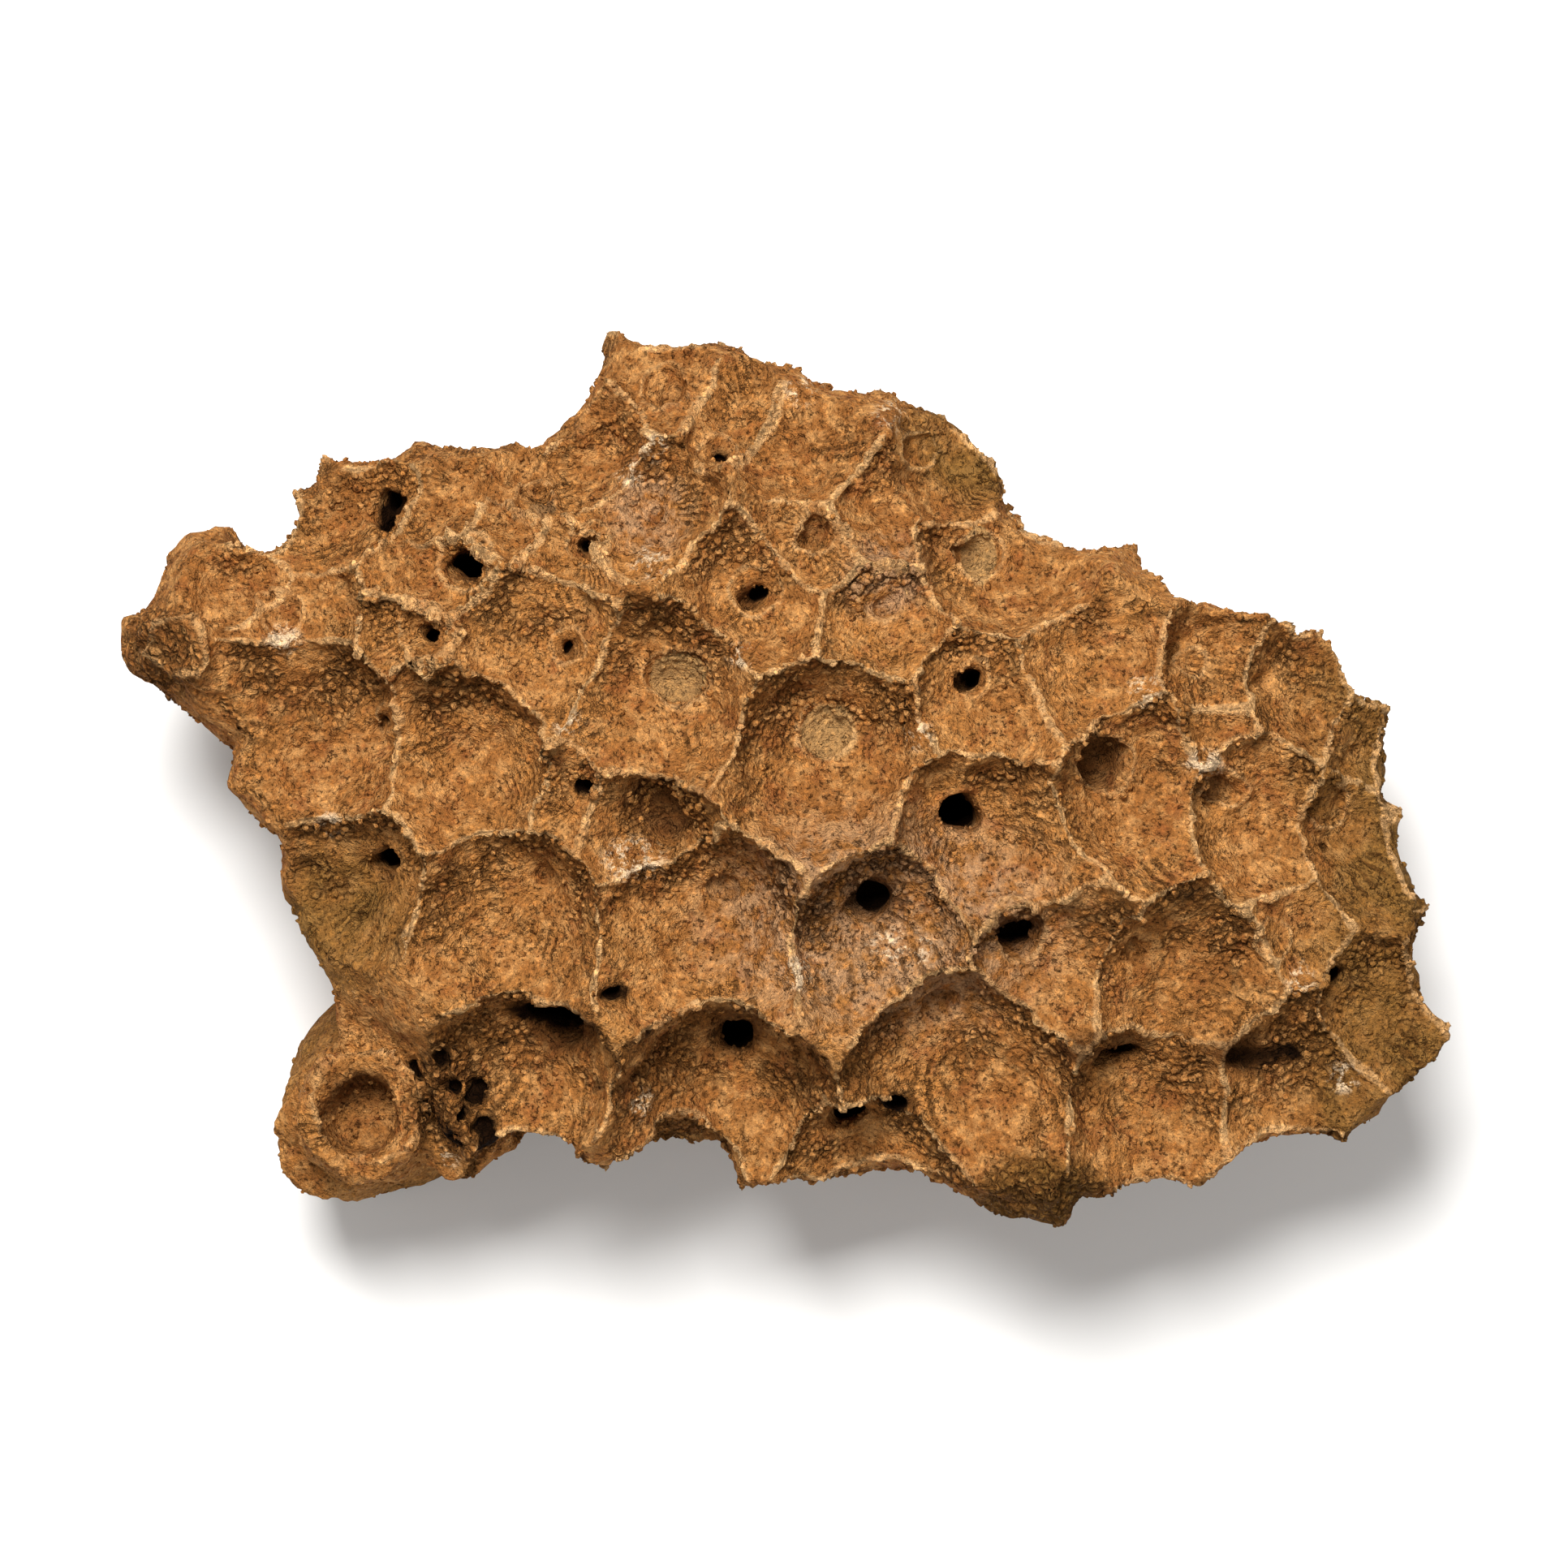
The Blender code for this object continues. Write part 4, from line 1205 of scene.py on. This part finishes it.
def seat_points(grow, spots):
    """Drops points along their calice's axis onto its own wall, and keeps those where beads stand thick."""
    axis = grow.named("axis", "FLOAT_VECTOR")
    start = grow.vector("ADD", grow.position(), grow.vector("SCALE", axis, scale=grow.given["Lift"]))
    fall = grow.vector("SCALE", axis, scale=-1.0)
    hit, beaded, hole = [grow.cast(name, start, fall) for name in ("calice", "beaded", "hole")]
    apart = grow.math("ABSOLUTE", hit["Attribute"] - grow.named("number"))
    liking = beaded["Attribute"] * 0.95 + 0.06 - hole["Attribute"] * 2.0
    unlucky = grow.more(grow.chance(2), liking)
    unwanted = grow.gate("OR", grow.more(apart, OWN_CALICE), unlucky)
    unwanted = grow.gate("OR", unwanted, grow.gate("NOT", hit["Is Hit"]))
    stored = grow.keep(spots, "facing", "FLOAT_VECTOR", hit["Hit Normal"])
    stored = grow.keep(stored, "unwanted", "BOOLEAN", unwanted)
    sockets = {"Geometry": stored, "Position": hit["Hit Position"]}
    seated = grow.node("GeometryNodeSetPosition", None, sockets)["Geometry"]
    sockets = {"Geometry": seated, "Selection": grow.named("unwanted", "BOOLEAN")}
    return grow.node("GeometryNodeDeleteGeometry", {"domain": "POINT"}, sockets)["Geometry"]


def grow_beads(skin, material):
    """Rows of small beads on the septa, thickest on the steep upper walls of the calices."""
    grow = Grower("septal_beads", {
        "Skin": skin, "Septa": SEPTA, "Rows": BEAD_ROWS, "First Row": BEAD_FIRST, "Row Step": BEAD_STEP,
        "Bead Radius": BEAD_RADIUS, "Lift": BEAD_LIFT, "Seed": SEED, "Stone": material})
    turn = grow.node("FunctionNodeEulerToRotation", None, {"Euler": grow.named("turn", "FLOAT_VECTOR")})
    reach = grow.named("reach", "FLOAT_VECTOR")
    spots = grow.copies(grow.given["Geometry"], lay_spokes(grow), turn["Rotation"], reach)
    upright = grow.node("FunctionNodeAlignRotationToVector", {"axis": "Z"}, {
        "Vector": grow.named("facing", "FLOAT_VECTOR")})["Rotation"]
    swell = grow.chance(3, 0.65, 1.25)
    size = grow.joined(swell * grow.chance(4, 0.8, 1.3), swell, swell * 0.75)
    beads = grow.crumbs(seat_points(grow, spots), grow.given["Bead Radius"], upright, size)
    return grow.grow_on(mark_calices(), beads)


def grow_grains(skin, material):
    """Loose grains of stone stuck all over the skin, thickest on crumbled ridges."""
    grow = Grower("stone_grains", {
        "Skin": skin, "Density": GRAIN_DENSITY, "Grain Radius": GRAIN_RADIUS, "Seed": SEED,
        "Stone": material})
    given = grow.given
    place = grow.position()
    height = grow.node("ShaderNodeSeparateXYZ", None, {"Vector": place})["Z"]
    patch = grow.noise(place, GRAIN_PATCH, 3.0, 0.6)
    amount = grow.ramp(patch, 0.42, 0.62, 0.12, 1.0) * grow.ramp(height, 0.014, 0.026, 0.15, 1.0)
    amount = amount * (1.0 - grow.named("hole")) * (grow.named("ridge") * 0.5 + 0.6)
    strewn = grow.node("GeometryNodeDistributePointsOnFaces", None, {
        "Mesh": grow.skin, "Density": amount * given["Density"], "Seed": given["Seed"]})["Points"]
    swell = grow.chance(3, 0.5, 1.0)
    swell = swell * swell * swell * 1.7
    size = grow.joined(swell * grow.chance(4, 0.7, 1.5), swell, swell * grow.chance(5, 0.5, 1.0))
    spin = grow.node("FunctionNodeRandomValue", {"data_type": "FLOAT_VECTOR"}, {
        "Min": (0, 0, 0), "Max": (tau, tau, tau), "Seed": given["Seed"] + 6})["Value"]
    turn = grow.node("FunctionNodeEulerToRotation", None, {"Euler": spin})["Rotation"]
    carrier = add_object(bpy.data.meshes.new("stone_grains"), "stone_grains")
    return grow.grow_on(carrier, grow.crumbs(strewn, given["Grain Radius"], turn, size))


def ride_colony(thing):
    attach(thing, "root")


def lay_floor():
    """The pale floor on which the colony rests."""
    shape = bmesh.new()
    bmesh.ops.create_grid(shape, x_segments=1, y_segments=1, size=FLOOR_REACH)
    floor = add_object(shape, "floor")
    floor.data.materials.append(plain_material("pale_floor", FLOOR_COLOUR, FLOOR_ROUGHNESS))


def add_light(name, direction, distance, size, power):
    """A square soft light that faces the colony."""
    data = bpy.data.lights.new(name, "AREA")
    data.shape = "SQUARE"
    data.size = size
    data.energy = power
    light = add_object(data, name)
    light.location = LIGHT_TARGET + Vector(direction).normalized() * distance
    light.rotation_mode = "QUATERNION"
    light.rotation_quaternion = (LIGHT_TARGET - light.location).to_track_quat("-Z", "Y")


def light_studio():
    add_light("main_light", (-0.12, 0.38, 1.0), 0.9, 0.30, MAIN_POWER)
    add_light("fill_light", (0.3, -0.5, 1.0), 1.2, 0.9, FILL_POWER)
    world = bpy.data.worlds.new("studio")
    world.use_nodes = True
    background = world.node_tree.nodes["Background"]
    background.inputs["Color"].default_value = (1, 1, 1, 1)
    background.inputs["Strength"].default_value = WORLD_STRENGTH
    bpy.context.scene.world = world


def place_camera():
    """Looks straight down on the calices, from far enough for a flat view."""
    data = bpy.data.cameras.new("camera")
    data.sensor_width = SENSOR
    data.lens = SENSOR * (CAMERA_HEIGHT - SHARP_HEIGHT) / VIEW_WIDTH
    camera = add_object(data, "camera")
    camera.location = (CENTRING.x, CENTRING.y, CAMERA_HEIGHT)
    bpy.context.scene.camera = camera


skin = grow_skin()
warp(skin)
drill_holes(skin)
even_out(skin)
roughen(skin)
thin_out(skin)
stone = stone_material()
skin.data.shade_smooth()
skin.data.materials.clear()
skin.data.materials.append(stone)
for piece in (grow_beads(skin, stone), grow_grains(skin, stone)):
    piece.data.shade_smooth()
    move_points(piece.data, values_of(piece.data.vertices, "co"))
    store_zones(piece.data)
    ride_colony(piece)
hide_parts("coral_colony")
ride_colony(skin)
lay_floor()
light_studio()
place_camera()
bpy.context.scene.view_settings.view_transform = "Standard"
